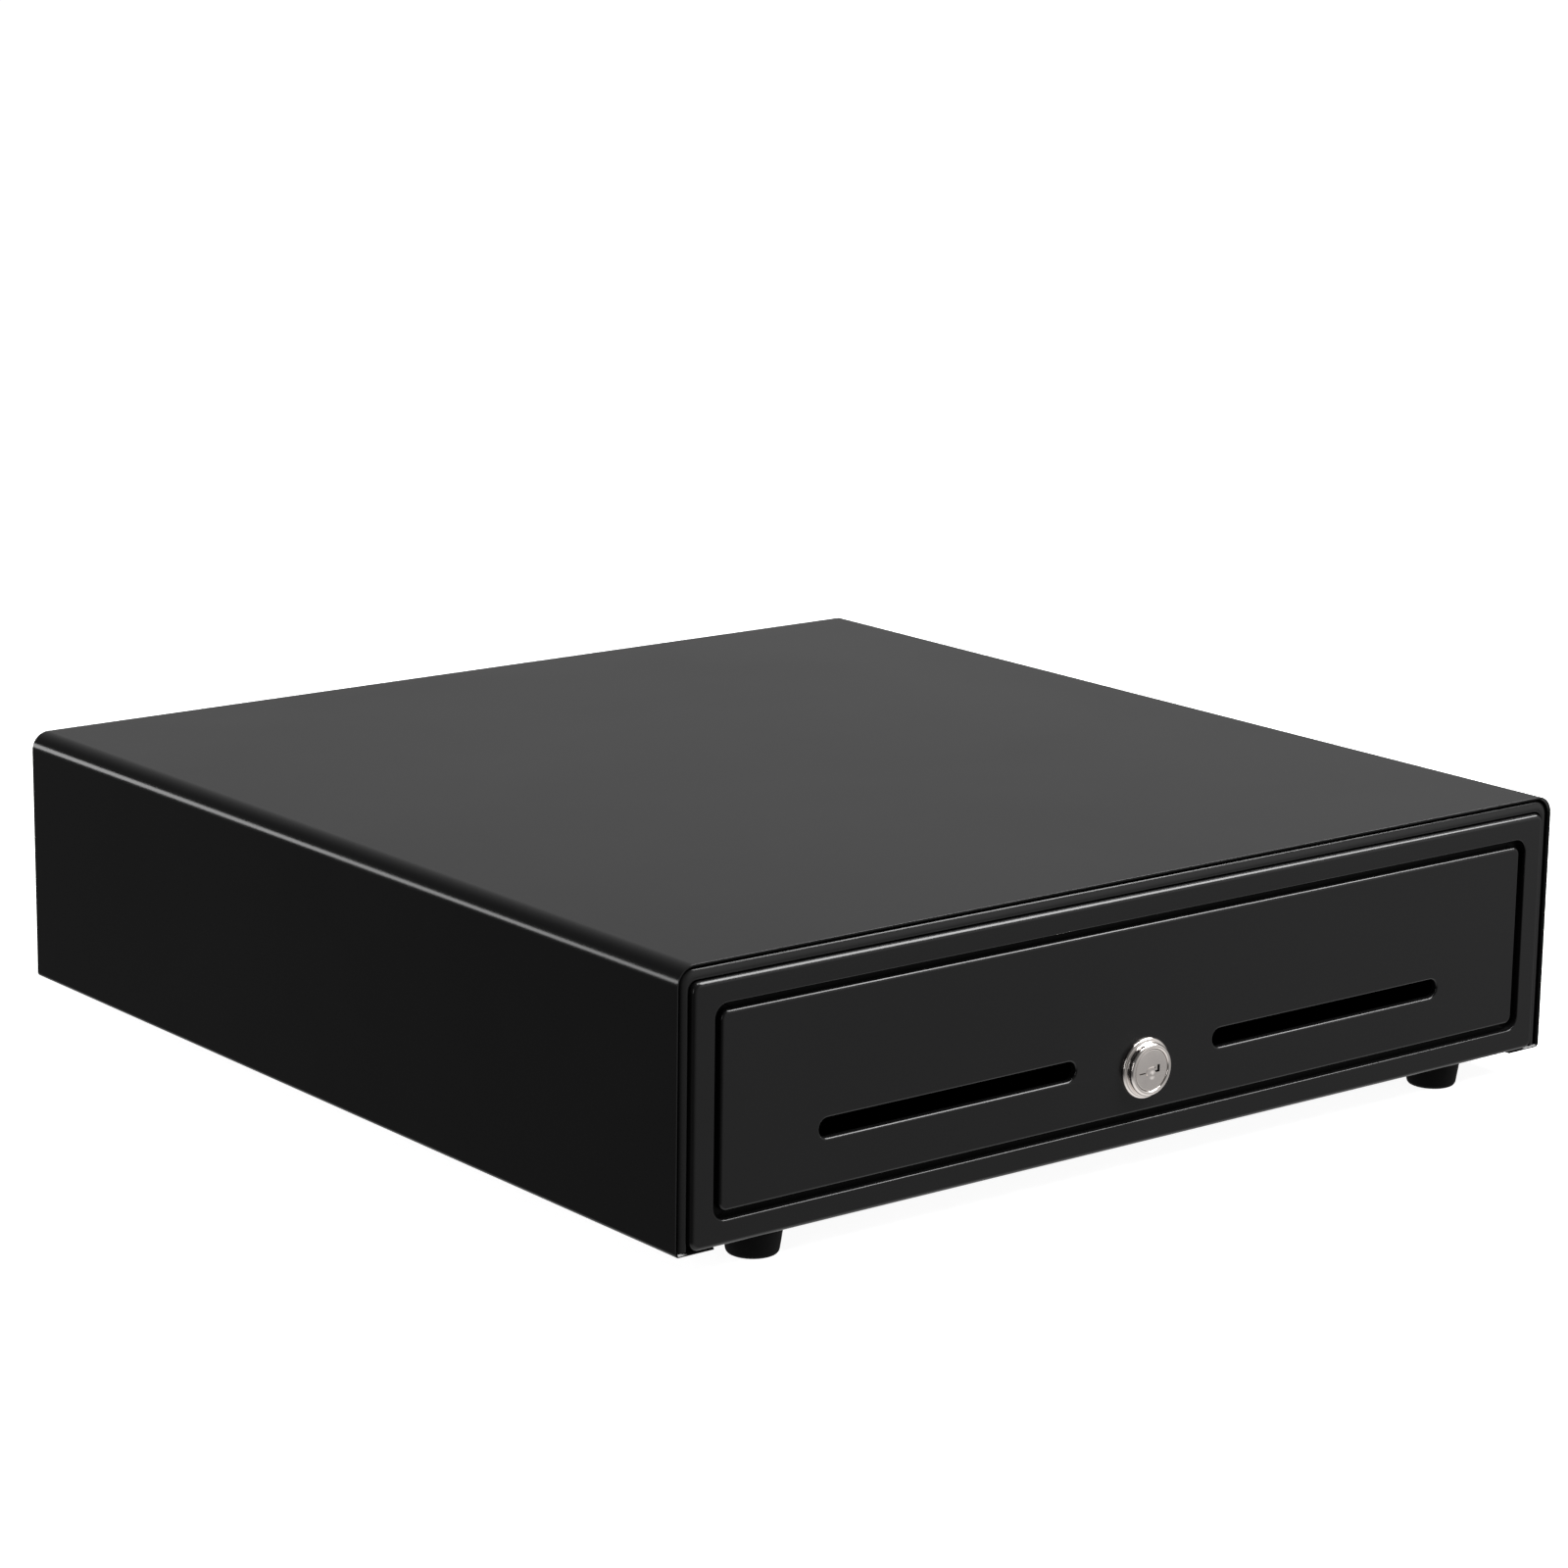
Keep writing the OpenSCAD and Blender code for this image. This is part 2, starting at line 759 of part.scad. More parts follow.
// Both media slots, grown all round and stretched from y1 to y2
module slot_cut(grow, y1, y2) {
    r = slot_h / 2;
    both_sides() along_y(y1, y2) {
        translate([slot_in + r, slot_z - r - grow]) square([slot_out - slot_in - slot_h, slot_h + 2 * grow]);
        for (x = [slot_in + r, slot_out - r]) translate([x, slot_z]) circle(r = r + grow);
    }
}

module drawer_tray() {
    color(powder_black) at_case() difference() {
        union() {
            box(-tray_half, tray_half, tray_front, tray_back, tray_low, tray_low + sheet);
            both_sides() box(tray_half - sheet, tray_half, tray_front, tray_back, tray_low, tray_high);
            box(-tray_half, tray_half, tray_back - sheet, tray_back, tray_low, tray_high - 4);
            box(-front_flange_x, front_flange_x, tray_front, tray_front + sheet, tray_low - 2, front_flange_z);
        }
        slot_cut(1, tray_front - 1, tray_front + 2);
        bar_y(0, lock_z, barrel_r + 0.2, tray_front - 1, tray_front + 2);
        bar_y(0, lock_z, 4.1, tray_back - 2, tray_back + 1);
        for (x = striker_rivet_x) bar_y(x, striker_rivet_z, 1.6, tray_back - 2, tray_back + 1);
        both_sides() {
            for (y = inner_screw_y) bar_x(y, rail_z, 1.6, tray_half - 2, tray_half + 1);
            for (z = front_screw_z) bar_y(front_screw_x, z, 1.5, tray_front - 1, tray_front + 2);
            for (z = inset_screw_z) bar_y(inset_screw_x, z, 1.5, tray_front - 1, tray_front + 2);
        }
    }
}

module till_rests() {
    color(powder_black) at_case() both_sides() {
        box(tray_half - sheet - rest_w, tray_half - sheet, 12, 354, till_low - 2, till_low - 1);
        box(tray_half - sheet - 1, tray_half - sheet, 12, 354, till_low - 12, till_low - 1);
    }
}

// Ring of sheet that follows the edge of a round rectangle
module edge_ring(x, z1, z2, r, t, y1, y2) {
    along_y(y1, y2) difference() {
        round_rect(-x, x, z1, z2, r);
        round_rect(-x + t, x - t, z1 + t, z2 - t, max(r - t, 0.2));
    }
}

// Screw boss on the back of a front panel
module boss(x, z, y1, y2) {
    difference() {
        bar_y(x, z, 2.9, y1, y2);
        bar_y(x, z, 1.5, y1 - eps, y2 + 1);
    }
}

module front_plate() {
    half = plate_w / 2;
    win = window_w / 2;
    color(powder_black) at_case() {
        along_y(-plate_proud, sheet - plate_proud) difference() {
            round_rect(-half, half, plate_low, plate_high, 2);
            round_rect(-win, win, window_low, window_high, 5);
        }
        edge_ring(half, plate_low, plate_high, 2, sheet, -plate_proud, 2.4);
        edge_ring(win + sheet, window_low - sheet, window_high + sheet, 6, sheet, -plate_proud, tray_front - 0.1);
        both_sides() for (z = front_screw_z) boss(front_screw_x, z, sheet - plate_proud - eps, tray_front);
    }
}

module inset_panel() {
    half = window_w / 2 - groove_w;
    low = window_low + groove_w;
    high = window_high - groove_w;
    back = sheet - inset_proud;
    color(powder_black) at_case() {
        difference() {
            union() {
                along_y(-inset_proud, back) round_rect(-half, half, low, high, 2.5);
                edge_ring(half, low, high, 2.5, sheet, -inset_proud, tray_front - 0.1);
                slot_cut(0.9, -inset_proud + eps, tray_front - 0.1);
                along_y(-inset_proud + eps, tray_front - 0.1) translate([0, lock_z]) circle(r = barrel_r + 1.6);
            }
            slot_cut(0, -3, 3);
            bar_y(0, lock_z, barrel_r + 0.2, -3, 3);
        }
        both_sides() for (z = inset_screw_z) boss(inset_screw_x, z, back - eps, tray_front);
    }
}

module front_screws() {
    color(zinc) at_case() both_sides() {
        for (z = front_screw_z) screw_back(front_screw_x, z, tray_front + sheet, 1.4, 2.8, 1.6, 2.8);
        for (z = inset_screw_z) screw_back(inset_screw_x, z, tray_front + sheet, 1.4, 2.8, 1.6, 2.5);
    }
}

// ---- lock ----

module lock_housing() {
    seat = -inset_proud;
    color(nickel) at_case() translate([0, 0, lock_z]) difference() {
        rotate([-90, 0, 0]) translate([0, 0, -lock_proud]) rotate_extrude() polygon([
            [plug_r + plug_fit, 0.6], [plug_r + 0.5, 0], [bezel_front_r - 0.9, 0], [bezel_front_r - 0.3, 0.25],
            [bezel_front_r, 0.8], [bezel_r - 0.6, lock_proud + seat - 1], [bezel_r, lock_proud + seat - 0.5],
            [bezel_r, lock_proud + seat], [barrel_r, lock_proud + seat], [barrel_r, lock_proud + barrel_back],
            [plug_r + plug_fit, lock_proud + barrel_back]]);
    }
}

module lock_nut() {
    color(nickel) at_case() translate([0, tray_front + sheet, lock_z]) rotate([-90, 0, 0]) difference() {
        cylinder(h = 3.5, r = 13, $fn = 6);
        translate([0, 0, -1]) cylinder(h = 6, r = barrel_r + 0.1);
    }
}

module lock_plug() {
    key_w = 8.4;
    face = -lock_proud + 0.3;
    color(nickel) at_case() translate([0, 0, lock_z]) difference() {
        union() {
            bar_y(0, 0, plug_r, face, barrel_back + 0.4);
            bar_y(0, 0, 4.5, barrel_back, tail_back);
        }
        box(-key_w / 2, key_w / 2 - 1, face - 1, face + 8, -0.55, 0.35);
        box(key_w / 2 - 1.7, key_w / 2 - 0.7, face - 1, face + 8, -0.55, 2);
        bar_y(0, 0, rod_r + 0.02, rod_front, tail_back + 1);
        bar_x(tail_back - 4, 0, 1.02, -6, 6);
    }
}

module lock_rod() {
    color(zinc) at_case() difference() {
        bar_y(0, lock_z, rod_r, rod_front, rod_back);
        bar_x(tail_back - 4, lock_z, 1.02, -6, 6);
        bar_x(rod_back - 6, lock_z, 1.02, -6, 6);
    }
}

module lock_finger() {
    color(zinc) at_case() translate([0, 0, lock_z]) rotate([0, finger_angle, 0]) difference() {
        union() {
            bar_y(0, 0, finger_hub_r, rod_back - 9, finger_y + finger_t);
            box(0, finger_len, finger_y, finger_y + finger_t, -finger_half, finger_half);
        }
        bar_y(0, 0, rod_r + 0.02, rod_back - 10, rod_back);
        rotate([0, -finger_angle, 0]) bar_x(rod_back - 6, 0, 1.02, -8, 8);
    }
}

module rod_pins() {
    color(spring_steel) at_case() {
        bar_x(tail_back - 4, lock_z, 1, -4.4, 4.4);
        bar_x(rod_back - 6, lock_z, 1, -4.9, 4.9);
    }
}

module rod_bushing() {
    color(nylon) at_case() difference() {
        union() {
            bar_y(0, lock_z, 4, tray_back - sheet - 2, tray_back + 1.5);
            bar_y(0, lock_z, 6, tray_back - sheet - 2, tray_back - sheet);
        }
        bar_y(0, lock_z, rod_r + 0.06, tray_back - 5, tray_back + 3);
    }
}

module striker() {
    color(zinc) at_case() difference() {
        union() {
            box(striker_left - 1, striker_right + 1, tray_back, tray_back + 1.5, lever_z, striker_rivet_z + 5);
            translate([0, 0, lever_z]) linear_extrude(lever_t) polygon([
                [striker_left, tray_back], [striker_right, tray_back], [striker_right, notch_front],
                [striker_right - notch_depth, notch_front], [striker_right - notch_depth, notch_back],
                [striker_right, notch_back], [striker_right, striker_back - 3], [striker_right - 4, striker_back],
                [striker_left, striker_back]]);
        }
        for (x = striker_rivet_x) bar_y(x, striker_rivet_z, 1.6, tray_back - 1, tray_back + 3);
    }
}

module striker_rivets() {
    color(zinc) at_case() for (x = striker_rivet_x) {
        bar_y(x, striker_rivet_z, 1.5, tray_back - sheet - eps, tray_back + 1.5 + eps);
        bar_y(x, striker_rivet_z, 2.6, tray_back + 1.5, tray_back + 2.5);
        bar_y(x, striker_rivet_z, 2.4, tray_back - sheet - 0.8, tray_back - sheet);
    }
}

// ---- till ----

module till() {
    color(till_black) at_case() difference() {
        box(-till_half, till_half, till_front, till_back, till_low, till_high);
        box(-till_half + plastic, till_half - plastic, till_front + plastic, coin_back,
            till_low + plastic, till_high + 1);
        box(-till_half + plastic, till_half - plastic, note_front, till_back - plastic,
            till_low + plastic, till_high + 1);
        divider_bodies(divider_fit, till_high + 1);
        bar_x(clip_y, clip_z, clip_rod_r + 0.1, -till_half + 0.8, till_half - 0.8);
    }
}

// The upright plates between the note compartments, grown by fit on their sides and ends
module divider_bodies(fit, top) {
    for (k = [1:note_count - 1]) {
        left = -till_half + k * note_pitch;
        box(left - fit, left + plastic + fit, note_front - divider_seat - fit,
            till_back - plastic + divider_seat + fit, till_low + plastic, top);
    }
}

module note_dividers() {
    color(till_black) at_case() difference() {
        divider_bodies(0, till_high);
        bar_x(clip_y, clip_z, clip_rod_r + 0.1, -till_half, till_half);
    }
}

module coin_tray() {
    color(till_black) at_case() difference() {
        union() {
            difference() {
                box(-coin_half, coin_half, coin_front, coin_end, coin_low, coin_high);
                for (k = [0:cup_count - 1], row = [0, 1]) {
                    left = -coin_half + plastic + k * (cup_w + plastic);
                    front = coin_front + plastic + row * (cup_d + plastic);
                    box(left, left + cup_w, front, front + cup_d, coin_low - 1, coin_high + 1);
                }
            }
            for (row = [0, 1]) intersection() {
                front = coin_front + plastic + row * (cup_d + plastic);
                box(-coin_half + 1, coin_half - 1, front - 1, front + cup_d + 1, coin_low, coin_high - 6);
                difference() {
                    bar_x(front + cup_d / 2, coin_low + plastic + scoop_r, scoop_r + plastic, -coin_half, coin_half);
                    bar_x(front + cup_d / 2, coin_low + plastic + scoop_r, scoop_r, -coin_half - 1, coin_half + 1);
                }
            }
        }
    }
}

module clip_rod() {
    color(spring_steel) at_case() bar_x(clip_y, clip_z, clip_rod_r, -till_half + 1, till_half - 1);
}

function clip_x(k) = -till_half + plastic + note_w / 2 + (k - 1) * note_pitch;

module clip_springs() {
    color(spring_steel) at_case() for (k = [1:note_count]) {
        translate([clip_x(k) + clip_half + 1.2, clip_y, clip_z]) rotate([0, 90, 0]) coil(5, 2.9, 0.4, 0.85);
        bar_y(clip_x(k) + clip_half + 4.6, clip_z + 2.9, 0.4, clip_y, till_back - plastic - 0.2);
    }
}

module note_clip(k) {
    color(spring_steel) at_case() translate([clip_x(k), clip_y, clip_z]) rotate([clip_drop, 0, 0]) difference() {
        union() {
            bar_x(0, 0, 3, -clip_half, clip_half);
            box(-clip_half, clip_half, -clip_len, -1, -0.6, 0.6);
            bar_x(-clip_len, 0, clip_roll_r, -clip_half, clip_half);
        }
        bar_x(0, 0, clip_rod_r + clip_rod_fit, -clip_half - 1, clip_half + 1);
        box(-6, 6, -clip_len + 22, -22, -3, 3);
        bar_x(-clip_len, 0, clip_roll_r - 1.2, -clip_half - 1, clip_half + 1);
    }
}

module note_clip_1() { note_clip(1); }
module note_clip_2() { note_clip(2); }
module note_clip_3() { note_clip(3); }
module note_clip_4() { note_clip(4); }
module note_clip_5() { note_clip(note_count); }

// ---- output: one node at a time, or all of them ----

housing_cover();
chassis_pan();
front_frame();
frame_rivets();
rear_panel();
rear_screws();
cover_screws();
rubber_feet();
foot_screws();
cable_grommet();
left_outer_rail();
right_outer_rail();
rail_rivets();
mechanism_bracket();
bracket_screws();
latch_pivot_pin();
latch_spring();
solenoid_frame();
solenoid_coil();
eject_guides();
eject_springs();
switch_bracket();
switch_body();
switch_screws();
drawer_tray();
till_rests();
front_plate();
inset_panel();
front_screws();
lock_housing();
lock_nut();
left_inner_rail();
right_inner_rail();
inner_rail_screws();
striker();
striker_rivets();
rod_bushing();
till();
note_dividers();
coin_tray();
clip_rod();
clip_springs();
lock_plug();
lock_rod();
lock_finger();
rod_pins();
latch_lever();
solenoid_plunger();
plunger_pin();
left_ball_cage();
right_ball_cage();
left_slide_balls();
right_slide_balls();
note_clip_1();
note_clip_2();
note_clip_3();
note_clip_4();
note_clip_5();
switch_lever();
switch_button();
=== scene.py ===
import math

import bmesh
import bpy
from mathutils import Matrix, Vector
from mathutils.geometry import tessellate_polygon


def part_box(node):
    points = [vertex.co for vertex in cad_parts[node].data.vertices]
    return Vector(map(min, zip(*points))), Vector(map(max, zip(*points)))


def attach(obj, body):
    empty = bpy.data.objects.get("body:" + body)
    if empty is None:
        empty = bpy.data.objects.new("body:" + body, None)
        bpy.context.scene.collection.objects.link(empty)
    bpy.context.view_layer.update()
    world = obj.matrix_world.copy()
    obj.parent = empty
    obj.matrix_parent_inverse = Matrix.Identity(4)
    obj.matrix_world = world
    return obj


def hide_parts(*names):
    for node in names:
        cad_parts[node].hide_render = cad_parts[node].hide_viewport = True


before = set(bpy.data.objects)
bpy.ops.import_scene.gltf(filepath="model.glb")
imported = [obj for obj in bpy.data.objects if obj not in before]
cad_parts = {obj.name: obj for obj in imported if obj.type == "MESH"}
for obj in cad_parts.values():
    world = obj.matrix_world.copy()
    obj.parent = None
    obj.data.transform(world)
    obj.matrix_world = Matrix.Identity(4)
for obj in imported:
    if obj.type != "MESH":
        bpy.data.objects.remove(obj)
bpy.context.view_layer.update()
scene = bpy.context.scene
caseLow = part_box("housing_cover")[0]
millimetre = 0.001
print("frame loaded:", len(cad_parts), "nodes")


def at(x, y, z):
    # millimetres across, back from the case's front rim and up from its underside
    return Vector((x * millimetre, caseLow.y + y * millimetre, caseLow.z + z * millimetre))


# shader groups

def startGroup(name, inputs, outputs):
    group = bpy.data.node_groups.new(name, "ShaderNodeTree")
    for label, kind, value in inputs:
        made = group.interface.new_socket(name=label, in_out="INPUT", socket_type=kind)
        if value is not None:
            made.default_value = value
    for label, kind in outputs:
        group.interface.new_socket(name=label, in_out="OUTPUT", socket_type=kind)
    first = group.nodes.new("NodeGroupInput")
    last = group.nodes.new("NodeGroupOutput")
    return group, first, last


def mathNode(group, operation, a, b=0.5):
    node = group.nodes.new("ShaderNodeMath")
    node.operation = operation
    for socket, value in zip(node.inputs, (a, b)):
        if isinstance(value, (int, float)):
            socket.default_value = value
        else:
            group.links.new(value, socket)
    return node.outputs[0]


def noiseNode(group, vector, scale, detail=3.0, roughness=0.55, distortion=0.0):
    node = group.nodes.new("ShaderNodeTexNoise")
    node.inputs["Detail"].default_value = detail
    node.inputs["Roughness"].default_value = roughness
    node.inputs["Distortion"].default_value = distortion
    group.links.new(vector, node.inputs["Vector"])
    if isinstance(scale, (int, float)):
        node.inputs["Scale"].default_value = scale
    else:
        group.links.new(scale, node.inputs["Scale"])
    return node.outputs["Fac"]


def rangeNode(group, value, low, high, toLow, toHigh):
    node = group.nodes.new("ShaderNodeMapRange")
    node.inputs["From Min"].default_value = low
    node.inputs["From Max"].default_value = high
    node.inputs["To Min"].default_value = toLow
    node.inputs["To Max"].default_value = toHigh
    group.links.new(value, node.inputs["Value"])
    return node.outputs["Result"]


def makeGrainGroup():
    # orange-peel and grit of a stoved coat or a moulded skin: two sizes of noise in one height
    group, first, last = startGroup(
        "fineGrain",
        [("Vector", "NodeSocketVector", None), ("Peel scale", "NodeSocketFloat", 900.0),
         ("Grit scale", "NodeSocketFloat", 3200.0), ("Grit share", "NodeSocketFloat", 0.4)],
        [("Height", "NodeSocketFloat"), ("Grit", "NodeSocketFloat")])
    peel = noiseNode(group, first.outputs["Vector"], first.outputs["Peel scale"], 2.0, 0.5)
    grit = noiseNode(group, first.outputs["Vector"], first.outputs["Grit scale"], 1.0, 0.5)
    gritPart = mathNode(group, "MULTIPLY", grit, first.outputs["Grit share"])
    group.links.new(mathNode(group, "ADD", peel, gritPart), last.inputs["Height"])
    group.links.new(grit, last.inputs["Grit"])
    return group


def makeDriftGroup():
    # slow change over a whole surface: handling, film thickness, settled dust
    group, first, last = startGroup(
        "slowDrift",
        [("Vector", "NodeSocketVector", None), ("Scale", "NodeSocketFloat", 14.0),
         ("Low", "NodeSocketFloat", 0.3), ("High", "NodeSocketFloat", 0.4)],
        [("Value", "NodeSocketFloat"), ("Mask", "NodeSocketFloat")])
    noise = noiseNode(group, first.outputs["Vector"], first.outputs["Scale"], 4.0, 0.6, 0.4)
    mask = rangeNode(group, noise, 0.3, 0.7, 0.0, 1.0)
    span = mathNode(group, "SUBTRACT", first.outputs["High"], first.outputs["Low"])
    scaled = mathNode(group, "MULTIPLY", mask, span)
    group.links.new(mathNode(group, "ADD", scaled, first.outputs["Low"]), last.inputs["Value"])
    group.links.new(mask, last.inputs["Mask"])
    return group


def makeDrawnGroup():
    # long fine lines left by rolling, drawing or brushing metal
    group, first, last = startGroup(
        "drawnLines",
        [("Vector", "NodeSocketVector", None), ("Across", "NodeSocketVector", (2600.0, 60.0, 2600.0)),
         ("Low", "NodeSocketFloat", 0.2), ("High", "NodeSocketFloat", 0.35)],
        [("Value", "NodeSocketFloat"), ("Height", "NodeSocketFloat")])
    stretch = group.nodes.new("ShaderNodeVectorMath")
    stretch.operation = "MULTIPLY"
    group.links.new(first.outputs["Vector"], stretch.inputs[0])
    group.links.new(first.outputs["Across"], stretch.inputs[1])
    lines = noiseNode(group, stretch.outputs["Vector"], 1.0, 3.0, 0.6)
    mask = rangeNode(group, lines, 0.3, 0.7, 0.0, 1.0)
    span = mathNode(group, "SUBTRACT", first.outputs["High"], first.outputs["Low"])
    scaled = mathNode(group, "MULTIPLY", mask, span)
    group.links.new(mathNode(group, "ADD", scaled, first.outputs["Low"]), last.inputs["Value"])
    group.links.new(lines, last.inputs["Height"])
    return group


def makeTintGroup():
    # two near colours blended by a mask
    group, first, last = startGroup(
        "tintBlend",
        [("Mask", "NodeSocketFloat", 0.5), ("Dark", "NodeSocketColor", (0.1, 0.1, 0.1, 1.0)),
         ("Light", "NodeSocketColor", (0.2, 0.2, 0.2, 1.0))],
        [("Color", "NodeSocketColor")])
    mix = group.nodes.new("ShaderNodeMix")
    mix.data_type = "RGBA"
    group.links.new(first.outputs["Mask"], mix.inputs["Factor"])
    group.links.new(first.outputs["Dark"], mix.inputs["A"])
    group.links.new(first.outputs["Light"], mix.inputs["B"])
    group.links.new(mix.outputs["Result"], last.inputs["Color"])
    return group


grainGroup = makeGrainGroup()
driftGroup = makeDriftGroup()
drawnGroup = makeDrawnGroup()
tintGroup = makeTintGroup()
print("shader groups made")


def useGroup(material, group, values, vector=None):
    node = material.node_tree.nodes.new("ShaderNodeGroup")
    node.node_tree = group
    for label, value in values.items():
        if isinstance(value, bpy.types.NodeSocket):
            material.node_tree.links.new(value, node.inputs[label])
        else:
            node.inputs[label].default_value = value
    if vector is not None:
        material.node_tree.links.new(vector, node.inputs["Vector"])
    return node


def startMaterial(name):
    material = bpy.data.materials.new(name)
    material.use_nodes = True
    nodes = material.node_tree.nodes
    shader = next(n for n in nodes if n.type == "BSDF_PRINCIPLED")
    place = nodes.new("ShaderNodeTexCoord").outputs["Object"]
    return material, shader, place


def addBump(material, shader, height, strength, distance):
    bump = material.node_tree.nodes.new("ShaderNodeBump")
    bump.inputs["Strength"].default_value = strength
    bump.inputs["Distance"].default_value = distance
    material.node_tree.links.new(height, bump.inputs["Height"])
    material.node_tree.links.new(bump.outputs["Normal"], shader.inputs["Normal"])


def rgb(values):
    return (values[0], values[1], values[2], 1.0)


def makeCoated(name, looks):
    # a coat or moulding: drifting roughness, two near colours and a grained skin
    material, shader, place = startMaterial(name)
    links = material.node_tree.links
    drift = useGroup(material, driftGroup, {"Scale": looks["driftScale"], "Low": looks["roughLow"],
                                           "High": looks["roughHigh"]}, place)
    links.new(drift.outputs["Value"], shader.inputs["Roughness"])
    grain = useGroup(material, grainGroup, {"Peel scale": looks["peelScale"],
                                           "Grit scale": looks["gritScale"],
                                           "Grit share": looks["gritShare"]}, place)
    tint = useGroup(material, tintGroup, {"Mask": grain.outputs["Grit"], "Dark": rgb(looks["dark"]),
                                         "Light": rgb(looks["light"])})
    links.new(tint.outputs["Color"], shader.inputs["Base Color"])
    shader.inputs["Specular IOR Level"].default_value = looks["specular"]
    addBump(material, shader, grain.outputs["Height"], looks["bump"], looks["bumpDepth"])
    return material


def makeMetal(name, looks):
    # bare or plated metal: drawn lines in the roughness and a faint spread of colour
    material, shader, place = startMaterial(name)
    links = material.node_tree.links
    drawn = useGroup(material, drawnGroup, {"Across": looks["across"], "Low": looks["roughLow"],
                                           "High": looks["roughHigh"]}, place)
    links.new(drawn.outputs["Value"], shader.inputs["Roughness"])
    drift = useGroup(material, driftGroup, {"Scale": looks["driftScale"]}, place)
    tint = useGroup(material, tintGroup, {"Mask": drift.outputs["Mask"], "Dark": rgb(looks["dark"]),
                                         "Light": rgb(looks["light"])})
    links.new(tint.outputs["Color"], shader.inputs["Base Color"])
    shader.inputs["Metallic"].default_value = 1.0
    addBump(material, shader, drawn.outputs["Height"], looks["bump"], looks["bumpDepth"])
    return material


blackCoatLooks = {
    "dark": (0.0050, 0.0049, 0.0052), "light": (0.0080, 0.0079, 0.0080), "specular": 0.33,
    "roughLow": 0.17, "roughHigh": 0.22, "driftScale": 9.0,
    "peelScale": 620.0, "gritScale": 2600.0, "gritShare": 0.5, "bump": 0.22, "bumpDepth": 0.00004,
}
# a darker, duller copy of the black coat for the drawer tray: painted shade, so the tray wall at the back of
# the groove round the inset panel reads black
grooveShadeCoatLooks = {
    "dark": (0.0016, 0.0016, 0.0017), "light": (0.0026, 0.0026, 0.0026), "specular": 0.06,
    "roughLow": 0.34, "roughHigh": 0.42, "driftScale": 9.0,
    "peelScale": 620.0, "gritScale": 2600.0, "gritShare": 0.5, "bump": 0.2, "bumpDepth": 0.00004,
}
rubberLooks = {
    "dark": (0.0012, 0.0012, 0.0013), "light": (0.003, 0.003, 0.003), "specular": 0.1,
    "roughLow": 0.62, "roughHigh": 0.78, "driftScale": 40.0,
    "peelScale": 900.0, "gritScale": 3000.0, "gritShare": 0.6, "bump": 0.35, "bumpDepth": 0.00006,
}
tillLooks = {
    "dark": (0.011, 0.011, 0.012), "light": (0.019, 0.019, 0.020), "specular": 0.4,
    "roughLow": 0.44, "roughHigh": 0.54, "driftScale": 12.0,
    "peelScale": 1100.0, "gritScale": 3600.0, "gritShare": 0.8, "bump": 0.4, "bumpDepth": 0.00006,
}
nylonLooks = {
    "dark": (0.66, 0.64, 0.56), "light": (0.74, 0.72, 0.64), "specular": 0.45,
    "roughLow": 0.36, "roughHigh": 0.46, "driftScale": 30.0,
    "peelScale": 800.0, "gritScale": 2600.0, "gritShare": 0.3, "bump": 0.2, "bumpDepth": 0.00004,
}
zincLooks = {
    "dark": (0.52, 0.53, 0.54), "light": (0.66, 0.66, 0.64), "roughLow": 0.26, "roughHigh": 0.42,
    "driftScale": 60.0, "across": (2400.0, 70.0, 2400.0), "bump": 0.12, "bumpDepth": 0.00003,
}
nickelLooks = {
    "dark": (0.72, 0.67, 0.64), "light": (0.80, 0.75, 0.71), "roughLow": 0.12, "roughHigh": 0.19,
    "driftScale": 90.0, "across": (900.0, 900.0, 2500.0), "bump": 0.04, "bumpDepth": 0.00002,
}
springLooks = {
    "dark": (0.44, 0.44, 0.46), "light": (0.56, 0.56, 0.57), "roughLow": 0.2, "roughHigh": 0.34,
    "driftScale": 70.0, "across": (1600.0, 160.0, 1600.0), "bump": 0.08, "bumpDepth": 0.00002,
}
tapeLooks = {
    "dark": (0.60, 0.36, 0.06), "light": (0.72, 0.46, 0.10), "specular": 0.5,
    "roughLow": 0.2, "roughHigh": 0.32, "driftScale": 120.0,
    "peelScale": 500.0, "gritScale": 1500.0, "gritShare": 0.2, "bump": 0.25, "bumpDepth": 0.0001,
}

blackCoat = makeCoated("blackPowderCoat", blackCoatLooks)
# the black coat's darker copy is painted shade for the drawer tray in the groove
grooveShadeCoat = makeCoated("grooveShadeBlackCoat", grooveShadeCoatLooks)
blackRubber = makeCoated("blackRubber", rubberLooks)
tillPlastic = makeCoated("tillPlastic", tillLooks)
nylonWhite = makeCoated("naturalNylon", nylonLooks)
zincPlate = makeMetal("zincPlatedSteel", zincLooks)
brightNickel = makeMetal("brightNickel", nickelLooks)
springSteel = makeMetal("springSteel", springLooks)
windingTape = makeCoated("windingTape", tapeLooks)
print("materials made")


# mesh helpers

def plainMesh(source):
    # the object's evaluated mesh takes the place of its own and its modifiers go
    bpy.context.view_layer.update()
    depsgraph = bpy.context.evaluated_depsgraph_get()
    made = bpy.data.meshes.new_from_object(source.evaluated_get(depsgraph))
    old = source.data
    source.modifiers.clear()
    source.data = made
    if old.users == 0:
        bpy.data.meshes.remove(old)
    return source


def dressMesh(piece, material, sharpAngle=35.0):
    # smooth shading with creases by angle, normals weighted to the large flats
    mesh = piece.data
    mesh.materials.clear()
    mesh.materials.append(material)
    mesh.polygons.foreach_set("use_smooth", [True] * len(mesh.polygons))
    mesh.polygons.foreach_set("material_index", [0] * len(mesh.polygons))
    mesh.set_sharp_from_angle(angle=math.radians(sharpAngle))
    weighted = piece.modifiers.new("weighted", "WEIGHTED_NORMAL")
    weighted.keep_sharp = True
    weighted.weight = 50
    return plainMesh(piece)


